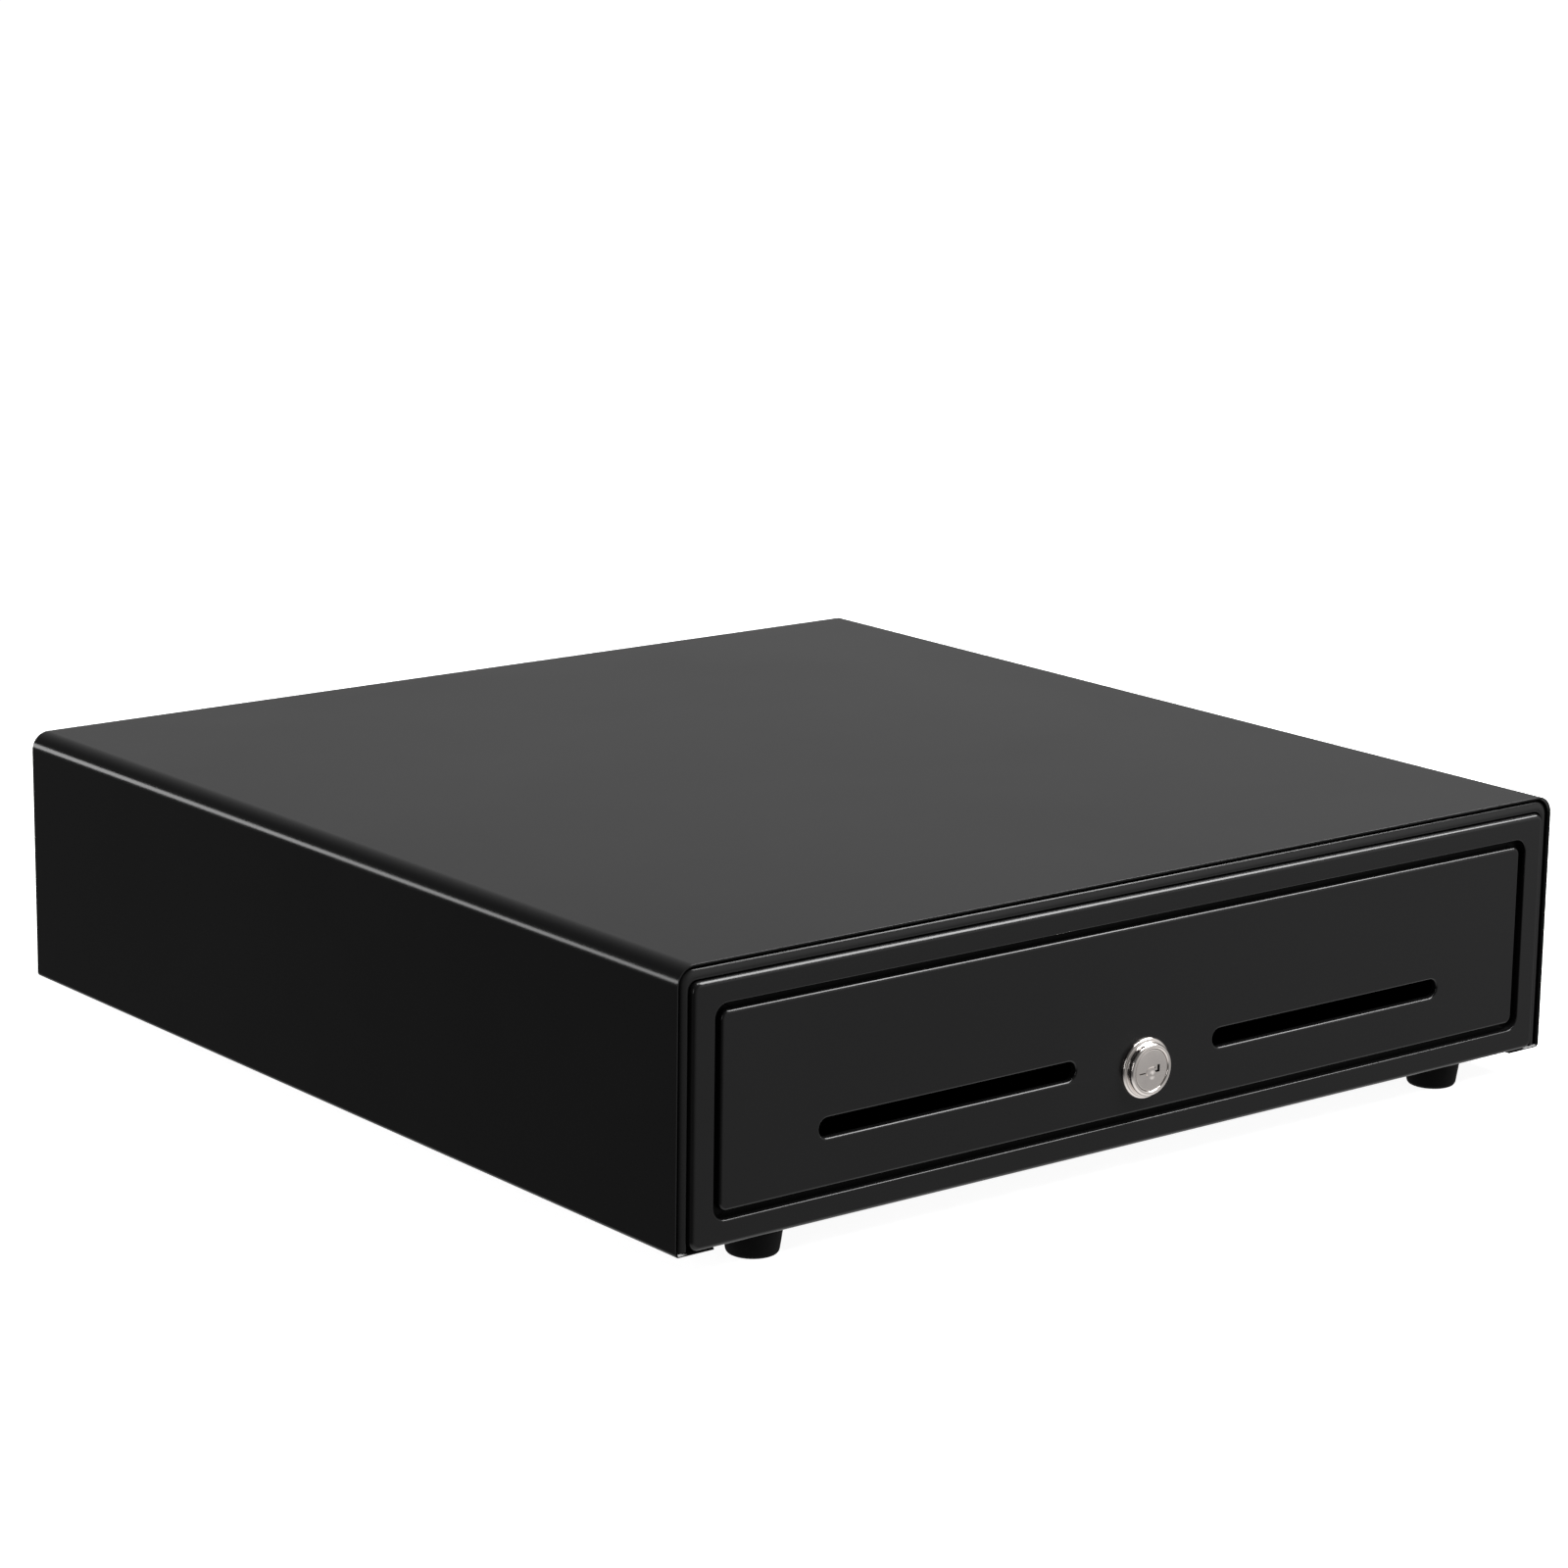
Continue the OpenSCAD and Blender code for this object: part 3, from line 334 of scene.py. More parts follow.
def makePiece(name, parts, material, body, nodes=(), sharpAngle=35.0):
    # parts are (points, faces) pairs already in the row frame
    shape = bmesh.new()
    for points, faces in parts:
        verts = [shape.verts.new(p) for p in points]
        for face in faces:
            corners = [verts[i] for i in face]
            if len(set(corners)) > 2:
                try:
                    shape.faces.new(corners)
                except ValueError:
                    continue
    bmesh.ops.remove_doubles(shape, verts=shape.verts, dist=2e-6)
    bmesh.ops.dissolve_degenerate(shape, edges=shape.edges, dist=1e-7)
    bmesh.ops.recalc_face_normals(shape, faces=shape.faces)
    mesh = bpy.data.meshes.new(name)
    shape.to_mesh(mesh)
    shape.free()
    piece = bpy.data.objects.new(name, mesh)
    scene.collection.objects.link(piece)
    dressMesh(piece, material, sharpAngle)
    return joinFrame(piece, body, nodes)


def joinFrame(piece, body, nodes=()):
    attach(piece, body)
    if nodes:
        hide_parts(*nodes)
    return piece


softEdge = {"segments": 2, "flatAngle": 1.0, "roundAngle": 28.0, "sharpAngle": 40.0}


def softened(node, material, body, width):
    # a copy of a CAD node with merged faces and small rounded edges, width in millimetres
    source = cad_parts[node]
    mesh = source.data.copy()
    shape = bmesh.new()
    shape.from_mesh(mesh)
    bmesh.ops.remove_doubles(shape, verts=shape.verts, dist=2e-6)
    flat = math.radians(softEdge["flatAngle"])
    bmesh.ops.dissolve_limit(shape, angle_limit=flat, verts=shape.verts, edges=shape.edges)
    many = [face for face in shape.faces if len(face.verts) > 4]     # a face round a hole rounds badly whole
    bmesh.ops.triangulate(shape, faces=many)
    bmesh.ops.recalc_face_normals(shape, faces=shape.faces)
    shape.to_mesh(mesh)
    shape.free()
    piece = bpy.data.objects.new(node + "_soft", mesh)
    scene.collection.objects.link(piece)
    bevel = piece.modifiers.new("edges", "BEVEL")
    bevel.width = width * millimetre
    bevel.segments = softEdge["segments"]
    bevel.limit_method = "ANGLE"
    bevel.angle_limit = math.radians(softEdge["roundAngle"])
    bevel.use_clamp_overlap = True
    bevel.miter_outer = "MITER_ARC"
    plainMesh(piece)
    dressMesh(piece, material, softEdge["sharpAngle"])
    return joinFrame(piece, body, [node])


def loft(rings, closedPath=False, caps=True):
    count = len(rings[0])
    points = [p for ring in rings for p in ring]
    faces = []
    for a in range(len(rings) if closedPath else len(rings) - 1):
        b = (a + 1) % len(rings)
        for i in range(count):
            j = (i + 1) % count
            faces.append((a * count + i, a * count + j, b * count + j, b * count + i))
    if caps and not closedPath:
        faces.append(tuple(reversed(range(count))))
        faces.append(tuple(range(len(points) - count, len(points))))
    return points, faces


def arcPoints(cx, cz, radius, start, end, steps):
    # steps + 1 points from start to end, in degrees
    found = []
    for k in range(steps + 1):
        angle = math.radians(start + (end - start) * k / steps)
        found.append((cx + radius * math.cos(angle), cz + radius * math.sin(angle)))
    return found


def roundRect(x1, x2, z1, z2, radius, steps=6):
    r = max(radius, 0.02)
    return (arcPoints(x2 - r, z1 + r, r, -90, 0, steps) + arcPoints(x2 - r, z2 - r, r, 0, 90, steps)
            + arcPoints(x1 + r, z2 - r, r, 90, 180, steps) + arcPoints(x1 + r, z1 + r, r, 180, 270, steps))


def stadium(x1, x2, zMid, half):
    # a slot's outline with round ends, from x1 to x2 along its ends' centres
    return arcPoints(x2, zMid, half, -90, 90, 10) + arcPoints(x1, zMid, half, 90, 270, 10)


def archOutline(half, low, high, radius):
    # open path from the right foot over the two round corners to the left foot
    r = max(radius, 0.02)
    return ([(half, low)] + arcPoints(half - r, high - r, r, 0, 90, 8)
            + arcPoints(r - half, high - r, r, 90, 180, 8) + [(-half, low)])


def onFront(outline, y):
    return [at(x, y, z) for x, z in outline]


def revolve(profile, centre, axis, segments=64, closed=False):
    # profile is (radius, height along the axis) in millimetres; centre is a row-frame point
    along = Vector(axis).normalized()
    side = along.orthogonal().normalized()
    other = along.cross(side)
    rings = []
    for k in range(segments):
        angle = 2 * math.pi * k / segments
        out = side * math.cos(angle) + other * math.sin(angle)
        rings.append([centre + (out * r + along * h) * millimetre for r, h in profile])
    count = len(profile)
    points = [p for ring in rings for p in ring]
    faces = []
    for a in range(segments):
        b = (a + 1) % segments
        for i in range(count if closed else count - 1):
            j = (i + 1) % count
            faces.append((a * count + i, a * count + j, b * count + j, b * count + i))
    return points, faces


def roundBar(start, end, radius, chamfer, segments):
    # a solid bar between two row-frame points with softened ends
    length = (end - start).length / millimetre
    profile = [(0, 0), (radius - chamfer, 0), (radius - chamfer * 0.3, chamfer * 0.3), (radius, chamfer),
               (radius, length - chamfer), (radius - chamfer * 0.3, length - chamfer * 0.3),
               (radius - chamfer, length), (0, length)]
    return revolve(profile, start, end - start, segments)


def bentLine(corners, radii, steps=6):
    # centre line of a bent sheet: its corners filleted, each point with its left-hand normal
    path = [Vector(corners[0])]
    for k in range(1, len(corners) - 1):
        here = Vector(corners[k])
        before = (Vector(corners[k - 1]) - here).normalized()
        after = (Vector(corners[k + 1]) - here).normalized()
        bend = before.angle(after)
        reach = radii[k - 1] / math.tan(bend / 2)
        middle = here + (before + after).normalized() * (radii[k - 1] / math.sin(bend / 2))
        first = here + before * reach - middle
        last = here + after * reach - middle
        turn = first.angle_signed(last)
        for s in range(steps + 1):
            share = turn * s / steps
            spin = Matrix.Rotation(-share, 2)
            path.append(middle + spin @ first)
    path.append(Vector(corners[-1]))
    line = []
    for k, point in enumerate(path):
        ahead = path[min(k + 1, len(path) - 1)] - path[max(k - 1, 0)]
        ahead.normalize()
        line.append((point, Vector((-ahead.y, ahead.x))))
    return line


def sheetSweep(line, thick, start, end, place, edge=0.3, eased=0.0):
    # the bent sheet's body, its cut edges rounded, or sharp outside and eased inside;
    # place turns (across, up, along) into a point
    half = thick / 2
    loop = roundRect(-half, half, start, end, min(edge, half * 0.95), 3)
    if eased:
        tip = edge * 0.1
        loop = [(-half + tip, start), (half - eased, start), (half, start + eased), (half, end - edge),
                (half - edge, end), (-half + tip, end), (-half, end - tip), (-half, start + tip)]
    rings = []
    for point, normal in line:
        rings.append([place(point.x + normal.x * o, point.y + normal.y * o, s) for o, s in loop])
    return loft(rings)


def alongY(a, b, s):
    return at(a, s, b)


def mirrored(part):
    points, faces = part
    return [Vector((-p.x, p.y, p.z)) for p in points], faces


def boxPart(x1, x2, y1, y2, z1, z2):
    ring = [(x1, y1), (x2, y1), (x2, y2), (x1, y2)]
    return loft([[at(x, y, z) for x, y in ring] for z in (z1, z2)])


# housing cover: one bent sheet over the whole case
coverShape = {"half": 205.0, "high": 98.0, "sheet": 1.0, "topBend": 7.0, "footBend": 1.6,
              "flangeEnd": 189.0, "depth": 415.0, "rim": 0.3, "rimEase": 0.6}


def makeCover():
    s = coverShape
    mid = s["sheet"] / 2
    corners = [(s["flangeEnd"], mid), (s["half"] - mid, mid), (s["half"] - mid, s["high"] - mid),
               (mid - s["half"], s["high"] - mid), (mid - s["half"], mid), (-s["flangeEnd"], mid)]
    foot = s["footBend"] - mid
    top = s["topBend"] - mid
    line = bentLine(corners, [foot, top, top, foot], 12)
    part = sheetSweep(line, s["sheet"], 0.0, s["depth"], alongY, s["rim"], s["rimEase"])
    return makePiece("coverSheet", [part], blackCoat, "case", ["housing_cover"])


# front frame: narrow crowned band with a leg back into the case
frameShape = {"half": 203.4, "high": 96.4, "low": 1.2, "radius": 5.4, "openHalf": 200.1, "openHigh": 92.5,
              "openRadius": 3.4, "front": 0.3, "sheet": 1.0, "back": 14.5, "crown": 1.5, "crownShare": 0.8,
              "lip": 0.3, "legShare": 0.33, "tabX": (201.4, 202.4), "tabZ": (18, 78), "tabHalf": 8,
              "tabBack": 27}


def makeFrontFrame():
    s = frameShape

    def outline(share, y):
        # share runs from 0 at the outer arch to 1 at the opening
        half = s["half"] + (s["openHalf"] - s["half"]) * share
        high = s["high"] + (s["openHigh"] - s["high"]) * share
        radius = s["radius"] + (s["openRadius"] - s["radius"]) * share
        return onFront(archOutline(half, s["low"], high, radius), y)

    front, back, crown, lip, leg = (s[key] for key in ("front", "back", "crown", "lip", "legShare"))
    rear = front + s["sheet"]
    profile = [(0.02, back), (0.0, back - 0.2)]
    for k in range(13):
        angle = math.radians(90 * k / 12)
        profile.append((s["crownShare"] * (1 - math.cos(angle)), front + crown * (1 - math.sin(angle))))
    profile += [(0.95, front + 0.2 * lip), (0.985, front + 0.55 * lip), (1.0, front + lip), (1.0, rear),
                (0.7, rear + 0.1), (0.5, rear + 0.7), (leg, rear + crown), (leg, back - 0.2),
                (leg - 0.02, back)]
    rings = [outline(share, y) for share, y in profile]
    count = len(rings[0])
    turned = [[ring[i] for ring in rings] for i in range(count)]
    parts = [loft(turned)]
    for side in (-1, 1):
        x1, x2 = sorted(side * x for x in s["tabX"])
        for z in s["tabZ"]:
            parts.append(boxPart(x1, x2, back - 4, s["tabBack"], z - s["tabHalf"], z + s["tabHalf"]))
    return makePiece("frontBand", parts, blackCoat, "case", ["front_frame"])


# drawer front plate: a frame of folded sheet with a window for the inset panel
plateShape = {"half": 199.6, "low": 1.0, "high": 92.0, "corner": 3.6, "face": -1.5, "back": 2.4,
              "edge": 1.7, "winHalf": 190.5, "winLow": 9.8, "winHigh": 83.6, "winCorner": 5.0, "winEdge": 0.4,
              "rimBack": 1.4, "bossBack": 1.5,
              "sheet": 1.0, "screwX": 195.05, "screwZ": (15, 47, 78)}


def ringPart(rings):
    # rings of one closed outline each, joined round and back to the first
    return loft(rings, closedPath=True)


def bossPart(x, z, y1, y2):
    profile = [(1.5, 0.0), (2.9, 0.0), (2.9, y2 - y1), (1.5, y2 - y1)]
    return revolve(profile, at(x, y1, z), (0, 1, 0), 20, closed=True)


def makeFrontPlate():
    s = plateShape

    def outer(inset, y):
        return onFront(roundRect(inset - s["half"], s["half"] - inset, s["low"] + inset, s["high"] - inset,
                                 max(s["corner"] - inset, 0.6)), y)

    def window(grow, y):
        return onFront(roundRect(-s["winHalf"] - grow, s["winHalf"] + grow, s["winLow"] - grow,
                                 s["winHigh"] + grow, s["winCorner"] + grow), y)

    rings = [outer(0.15, s["back"]), outer(0.0, s["back"] - 0.15)]
    for k in range(9):
        angle = math.radians(90 * k / 8)
        rings.append(outer(s["edge"] * (1 - math.cos(angle)), s["face"] + s["edge"] * (1 - math.sin(angle))))
    edge = s["winEdge"]
    for k in range(7):
        angle = math.radians(90 * k / 6)
        rings.append(window(edge * (1 - math.sin(angle)), s["face"] + edge * (1 - math.cos(angle))))
    rings += [window(0.0, s["rimBack"]), window(s["sheet"], s["rimBack"]),
              window(s["sheet"] + 0.4, s["face"] + s["sheet"]),
              outer(s["edge"] + 0.4, s["face"] + s["sheet"]),
              outer(s["sheet"] + 0.3, s["face"] + s["edge"]), outer(s["sheet"], s["back"])]
    parts = [ringPart(rings)]
    for side in (-1, 1):
        for z in s["screwZ"]:
            parts.append(bossPart(side * s["screwX"], z, s["face"] + s["sheet"], s["bossBack"]))
    return makePiece("drawerFrontPlate", parts, blackCoat, "drawer", ["front_plate"])


# inset panel: folded edge, two media slots and the lock's seat
insetShape = {"half": 187.7, "low": 12.6, "high": 80.8, "corner": 3.0, "face": -1.2, "sheet": 1.0,
              "back": 1.4, "bossBack": 1.5, "edge": 1.1, "slotIn": 32.5, "slotOut": 146.3, "slotZ": 33.2,
              "slotHalf": 3.5, "slotEdge": 0.85, "slotRim": 0.9, "lockZ": 28.5, "lockHole": 9.7,
              "lockRim": 11.1, "screwX": 172.0, "screwZ": (20, 73)}


def facePart(outer, holes, y):
    # a flat face with holes, from outlines in (across, up)
    loops = [outer] + holes
    flat = [p for loop in loops for p in loop]
    found = tessellate_polygon([[Vector((x, z, 0.0)) for x, z in loop] for loop in loops])
    return [at(x, y, z) for x, z in flat], [tuple(t) for t in found]


def makeInsetPanel():
    s = insetShape
    r = s["slotHalf"]

    def outline(inset):
        return roundRect(inset - s["half"], s["half"] - inset, s["low"] + inset, s["high"] - inset,
                         max(s["corner"] - inset, 0.4))

    def slot(side, grow):
        x1, x2 = sorted((side * (s["slotIn"] + r), side * (s["slotOut"] - r)))
        return stadium(x1, x2, s["slotZ"], r + grow)

    def lockRing(radius):
        return arcPoints(0, s["lockZ"], radius, 0, 352.5, 47)

    parts = []
    rings = []
    edge, face, rear, back = s["edge"], s["face"], s["face"] + s["sheet"], s["back"]
    for k in range(9):
        angle = math.radians(90 * k / 8)
        rings.append(onFront(outline(edge * (1 - math.sin(angle))), face + edge * (1 - math.cos(angle))))
    rings += [onFront(outline(0.0), back), onFront(outline(s["sheet"]), back),
              onFront(outline(s["sheet"] + 0.3), rear)]
    parts.append(loft(rings, caps=False))
    for side in (-1, 1):
        rings = []
        for k in range(7):
            angle = math.radians(90 * k / 6)
            grow = s["slotEdge"] * (1 - math.sin(angle))
            rings.append(onFront(slot(side, grow), face + s["slotEdge"] * (1 - math.cos(angle))))
        rings += [onFront(slot(side, 0.0), back), onFront(slot(side, s["slotRim"]), back),
                  onFront(slot(side, s["slotRim"]), rear)]
        parts.append(loft(rings, caps=False))
    hole, rim = lockRing(s["lockHole"]), lockRing(s["lockRim"])
    parts.append(loft([onFront(hole, face), onFront(hole, back), onFront(rim, back), onFront(rim, rear)],
                      caps=False))
    frontHoles = [slot(side, s["slotEdge"]) for side in (-1, 1)] + [hole]
    parts.append(facePart(outline(edge), frontHoles, face))
    rearHoles = [slot(side, s["slotRim"]) for side in (-1, 1)] + [rim]
    parts.append(facePart(outline(s["sheet"] + 0.3), rearHoles, rear))
    for side in (-1, 1):
        for z in s["screwZ"]:
            parts.append(bossPart(side * s["screwX"], z, rear, s["bossBack"]))
    return makePiece("drawerInsetPanel", parts, blackCoat, "drawer", ["inset_panel"])


# lock: stepped bezel and threaded barrel, plug with its keyway
lockShape = {"z": 28.5, "seat": -1.2, "front": -5.0, "flangeRadius": 11.0, "flangeSide": 0.45,
             "flangeRound": (0.9, 0.75), "ringRadius": 9.5, "ringRound": 1.0, "barrel": 9.5,
             "barrelBack": 24.0, "bore": 7.58, "threadPitch": 1.0, "threadDepth": 0.35, "threadEnd": 6.5}


def makeLockHousing():
    s = lockShape
    seat, front, bore = s["seat"], s["front"], s["bore"]
    flange, ring = s["flangeRadius"], s["ringRadius"]
    side = seat - s["flangeSide"]
    wide, deep = s["flangeRound"]
    turn = s["ringRound"]
    profile = [(ring, seat), (flange - 0.05, seat), (flange, seat - 0.1), (flange, side)]
    for k in range(1, 8):
        angle = math.radians(90 * k / 7)
        profile.append((flange - wide + wide * math.cos(angle), side - deep * math.sin(angle)))
    profile += [(ring + 0.22, side - deep - 0.02), (ring + 0.08, side - deep - 0.16), (ring, seat - 2.0),
                (ring, front + turn)]
    for k in range(1, 9):
        angle = math.radians(90 * k / 8)
        profile.append((ring - turn + turn * math.cos(angle), front + turn - turn * math.sin(angle)))
    profile += [(bore + 0.62, front), (bore + 0.32, front + 0.07), (bore + 0.12, front + 0.25),
                (bore + 0.02, front + 0.5), (bore, front + 0.7), (bore, s["barrelBack"]),
                (s["barrel"] - 0.6, s["barrelBack"])]
    y = s["barrelBack"] - 0.5
    while y > s["threadEnd"]:
        profile += [(s["barrel"], y), (s["barrel"] - s["threadDepth"], y - s["threadPitch"] / 2)]
        y -= s["threadPitch"]
    profile += [(s["barrel"], s["threadEnd"] - 0.2)]
    part = revolve(profile, at(0, 0, s["z"]), (0, 1, 0), 96, closed=True)
    return makePiece("lockBezel", [part], brightNickel, "drawer", ["lock_housing"], 50.0)


plugShape = {"radius": 7.5, "face": -4.7, "back": 24.4, "tailRadius": 4.5, "tailBack": 33.0,
             "slit": 0.42, "slitX": (-5.9, -2.9), "slitDeep": 1.5, "key": 0.7, "keyX": (0.2, 3.75),
             "keyDeep": 7.0, "stemX": 2.65, "stemHigh": 2.3, "keyDrop": 0.75, "discRadius": 2.7,
             "discZ": -0.95, "groove": 0.24, "domeRadius": 1.9, "domeHigh": 0.28, "domeX": 0.3,
             "domeDrop": 1.0}


def cutterObject(parts, name):
    shape = bmesh.new()
    for points, faces in parts:
        verts = [shape.verts.new(p) for p in points]
        for face in faces:
            shape.faces.new([verts[i] for i in face])
    bmesh.ops.remove_doubles(shape, verts=shape.verts, dist=1e-7)
    bmesh.ops.recalc_face_normals(shape, faces=shape.faces)
    mesh = bpy.data.meshes.new(name)
    shape.to_mesh(mesh)
    shape.free()
    made = bpy.data.objects.new(name, mesh)
    scene.collection.objects.link(made)
    return made


def cutAway(piece, cutter):
    boolean = piece.modifiers.new("cut", "BOOLEAN")
    boolean.operation = "DIFFERENCE"
    boolean.solver = "EXACT"
    boolean.object = cutter
    plainMesh(piece)
    bpy.data.objects.remove(cutter)


def tubeAlong(points, radius, segments=8):
    # closed tube through row-frame points, radius in millimetres
    rings = []
    for k, point in enumerate(points):
        ahead = (points[min(k + 1, len(points) - 1)] - points[max(k - 1, 0)]).normalized()
        side = Vector((0, 1, 0))
        if abs(ahead.dot(side)) > 0.9:
            side = Vector((1, 0, 0))
        side = (side - ahead * ahead.dot(side)).normalized()
        other = ahead.cross(side)
        ring = []
        for s in range(segments):
            angle = 2 * math.pi * s / segments
            ring.append(point + (side * math.cos(angle) + other * math.sin(angle)) * radius * millimetre)
        rings.append(ring)
    return loft(rings)


def makeLockPlug():
    s = plugShape
    z0 = lockShape["z"]
    face = s["face"]
    radius, back, tail, tailBack = (s[key] for key in ("radius", "back", "tailRadius", "tailBack"))
    profile = [(0, face), (radius - 0.35, face), (radius - 0.1, face + 0.1), (radius, face + 0.35),
               (radius, back), (tail, back), (tail, tailBack - 0.3), (tail - 0.3, tailBack), (0, tailBack)]
    plug = cutterObject([revolve(profile, at(0, 0, z0), (0, 1, 0), 96)], "keyPlug")
    keyZ = z0 - s["keyDrop"]
    slit, key = s["slit"] / 2, s["key"] / 2
    disc, discZ = s["discRadius"], z0 + s["discZ"]
    x1, x2 = s["keyX"]
    arc = []
    for k in range(15):
        angle = math.radians(200 - 150 * k / 14)
        arc.append(at(disc * math.cos(angle), face, discZ + disc * 0.72 * math.sin(angle)))
    cutters = [
        [boxPart(*s["slitX"], face - 1, face + s["slitDeep"], keyZ - slit, keyZ + slit)],
        [boxPart(x1, x2, face - 1, face + s["keyDeep"], keyZ - key, keyZ + key)],
        [boxPart(s["stemX"], x2, face - 1, face + s["keyDeep"], keyZ, keyZ + s["stemHigh"])],
        [tubeAlong(arc, s["groove"])],
    ]
    for parts in cutters:
        cutAway(plug, cutterObject(parts, "keyCut"))
    domeProfile = [(s["domeRadius"] * (1 - t / 9), -s["domeHigh"] / 2 * (1 - math.cos(math.pi * t / 9)))
                   for t in range(10)]
    domeCentre = at(s["domeX"], face + 0.004, discZ - s["domeDrop"])
    domePoints, domeFaces = revolve(domeProfile, domeCentre, (0, 1, 0), 40)
    mesh = plug.data
    shape = bmesh.new()
    shape.from_mesh(mesh)
    verts = [shape.verts.new(p) for p in domePoints]
    for corners in domeFaces:
        ids = [verts[i] for i in corners]
        try:
            shape.faces.new(ids)
        except ValueError:
            continue
    bmesh.ops.remove_doubles(shape, verts=verts, dist=1e-6)
    bmesh.ops.recalc_face_normals(shape, faces=shape.faces)
    shape.to_mesh(mesh)
    shape.free()
    dressMesh(plug, brightNickel, 30.0)
    return joinFrame(plug, "lock", ["lock_plug"])


makeCover()
makeFrontFrame()
makeFrontPlate()
makeInsetPanel()
makeLockHousing()
makeLockPlug()
print("outside shell and front made")


# feet: moulded rubber cones with a recess for their screws
footShape = {"x": 162.0, "ys": (14.0, 392.0), "drop": -10.0, "top": 1.0, "floorRadius": 9.1,
             "topRadius": 10.5, "recess": 4.6, "recessTop": -5.0, "bore": 2.2}


def footSpots():
    return [(x, y) for x in (-footShape["x"], footShape["x"]) for y in footShape["ys"]]


def makeFeet():
    s = footShape
    bore, top, drop, recess = (s[key] for key in ("bore", "top", "drop", "recess"))
    high, low = s["topRadius"], s["floorRadius"]
    profile = [(bore, top), (high - 0.3, top), (high, top - 0.4), (high - 0.12, -0.6),
               (low + 0.5, drop + 4.0), (low + 0.1, drop + 1.4), (low - 0.1, drop + 0.8),
               (low - 0.5, drop + 0.25), (low - 1.0, drop),
               (recess + 0.4, drop), (recess + 0.05, drop + 0.35), (recess, s["recessTop"]),
               (bore, s["recessTop"])]
    parts = [revolve(profile, at(x, y, 0), (0, 0, 1), 56, closed=True) for x, y in footSpots()]
    return makePiece("rubberFeet", parts, blackRubber, "case", ["rubber_feet"], 50.0)


grommetShape = {"x": 120, "z": 22, "bore": 4.0, "neck": 6.9, "flange": 9.0, "panel": (412.4, 413.4)}


def makeGrommet():
    s = grommetShape
    y1, y2 = s["panel"]
    bore, neck, wide = s["bore"], s["neck"], s["flange"]
    profile = [(bore, y1 - 2.1), (bore + 0.4, y1 - 2.5), (wide - 0.6, y1 - 2.5), (wide - 0.15, y1 - 2.3),
               (wide, y1 - 1.8), (wide, y1), (neck, y1), (neck, y2), (wide, y2), (wide - 0.1, y2 + 0.7),
               (wide - 0.5, y2 + 1.2), (wide - 1.2, y2 + 1.4), (bore + 1.0, y2 + 1.4),
               (bore + 0.3, y2 + 1.25), (bore, y2 + 0.9)]
    part = revolve(profile, at(s["x"], 0, s["z"]), (0, 1, 0), 48, closed=True)
    return makePiece("cableGrommet", [part], blackRubber, "case", ["cable_grommet"], 50.0)


# slides: channels of bent strip, one pair fixed and one on the drawer
slideShape = {"mid": 50.0, "outerFront": 18.0, "innerFront": 16.0, "length": 340.0, "strip": 1.2,
              "outerWeb": 201.8, "outerHook": 194.2, "outerHalf": 16.9, "outerLip": 14.5,
              "innerWeb": 190.6, "innerEdge": 199.3, "innerHalf": 11.5}


def makeSlides():
    s = slideShape
    z, web, hook, lip, half = (s[key] for key in ("mid", "outerWeb", "outerHook", "outerLip", "outerHalf"))
    outerLine = bentLine([(hook, z + lip), (hook, z + half), (web, z + half), (web, z - half),
                          (hook, z - half), (hook, z - lip)], [1.2, 2.4, 2.4, 1.2])
    web, edge, half = s["innerWeb"], s["innerEdge"], s["innerHalf"]
    innerLine = bentLine([(edge, z + half), (web, z + half), (web, z - half), (edge, z - half)], [1.8, 1.8])
    outer = sheetSweep(outerLine, s["strip"], s["outerFront"], s["outerFront"] + s["length"], alongY)
    inner = sheetSweep(innerLine, s["strip"], s["innerFront"], s["innerFront"] + s["length"], alongY)
    makePiece("rightOuterRail", [outer], zincPlate, "case", ["right_outer_rail"])
    makePiece("leftOuterRail", [mirrored(outer)], zincPlate, "case", ["left_outer_rail"])
    makePiece("rightInnerRail", [inner], zincPlate, "drawer", ["right_inner_rail"])
    makePiece("leftInnerRail", [mirrored(inner)], zincPlate, "drawer", ["left_inner_rail"])


# solenoid: folded yoke, taped winding and the bobbin's two ends
solenoidShape = {"y": 390, "z": 21, "yokeX": (53, 89), "yokeZ": (4.5, 35), "yokeY": (377, 403), "strip": 2.0,
                 "bore": 4.58, "windRadius": 11.45, "windX": (55.8, 86.2), "wirePitch": 2.2,
                 "flangeRadius": 12.5, "flangeWidth": 1.6}


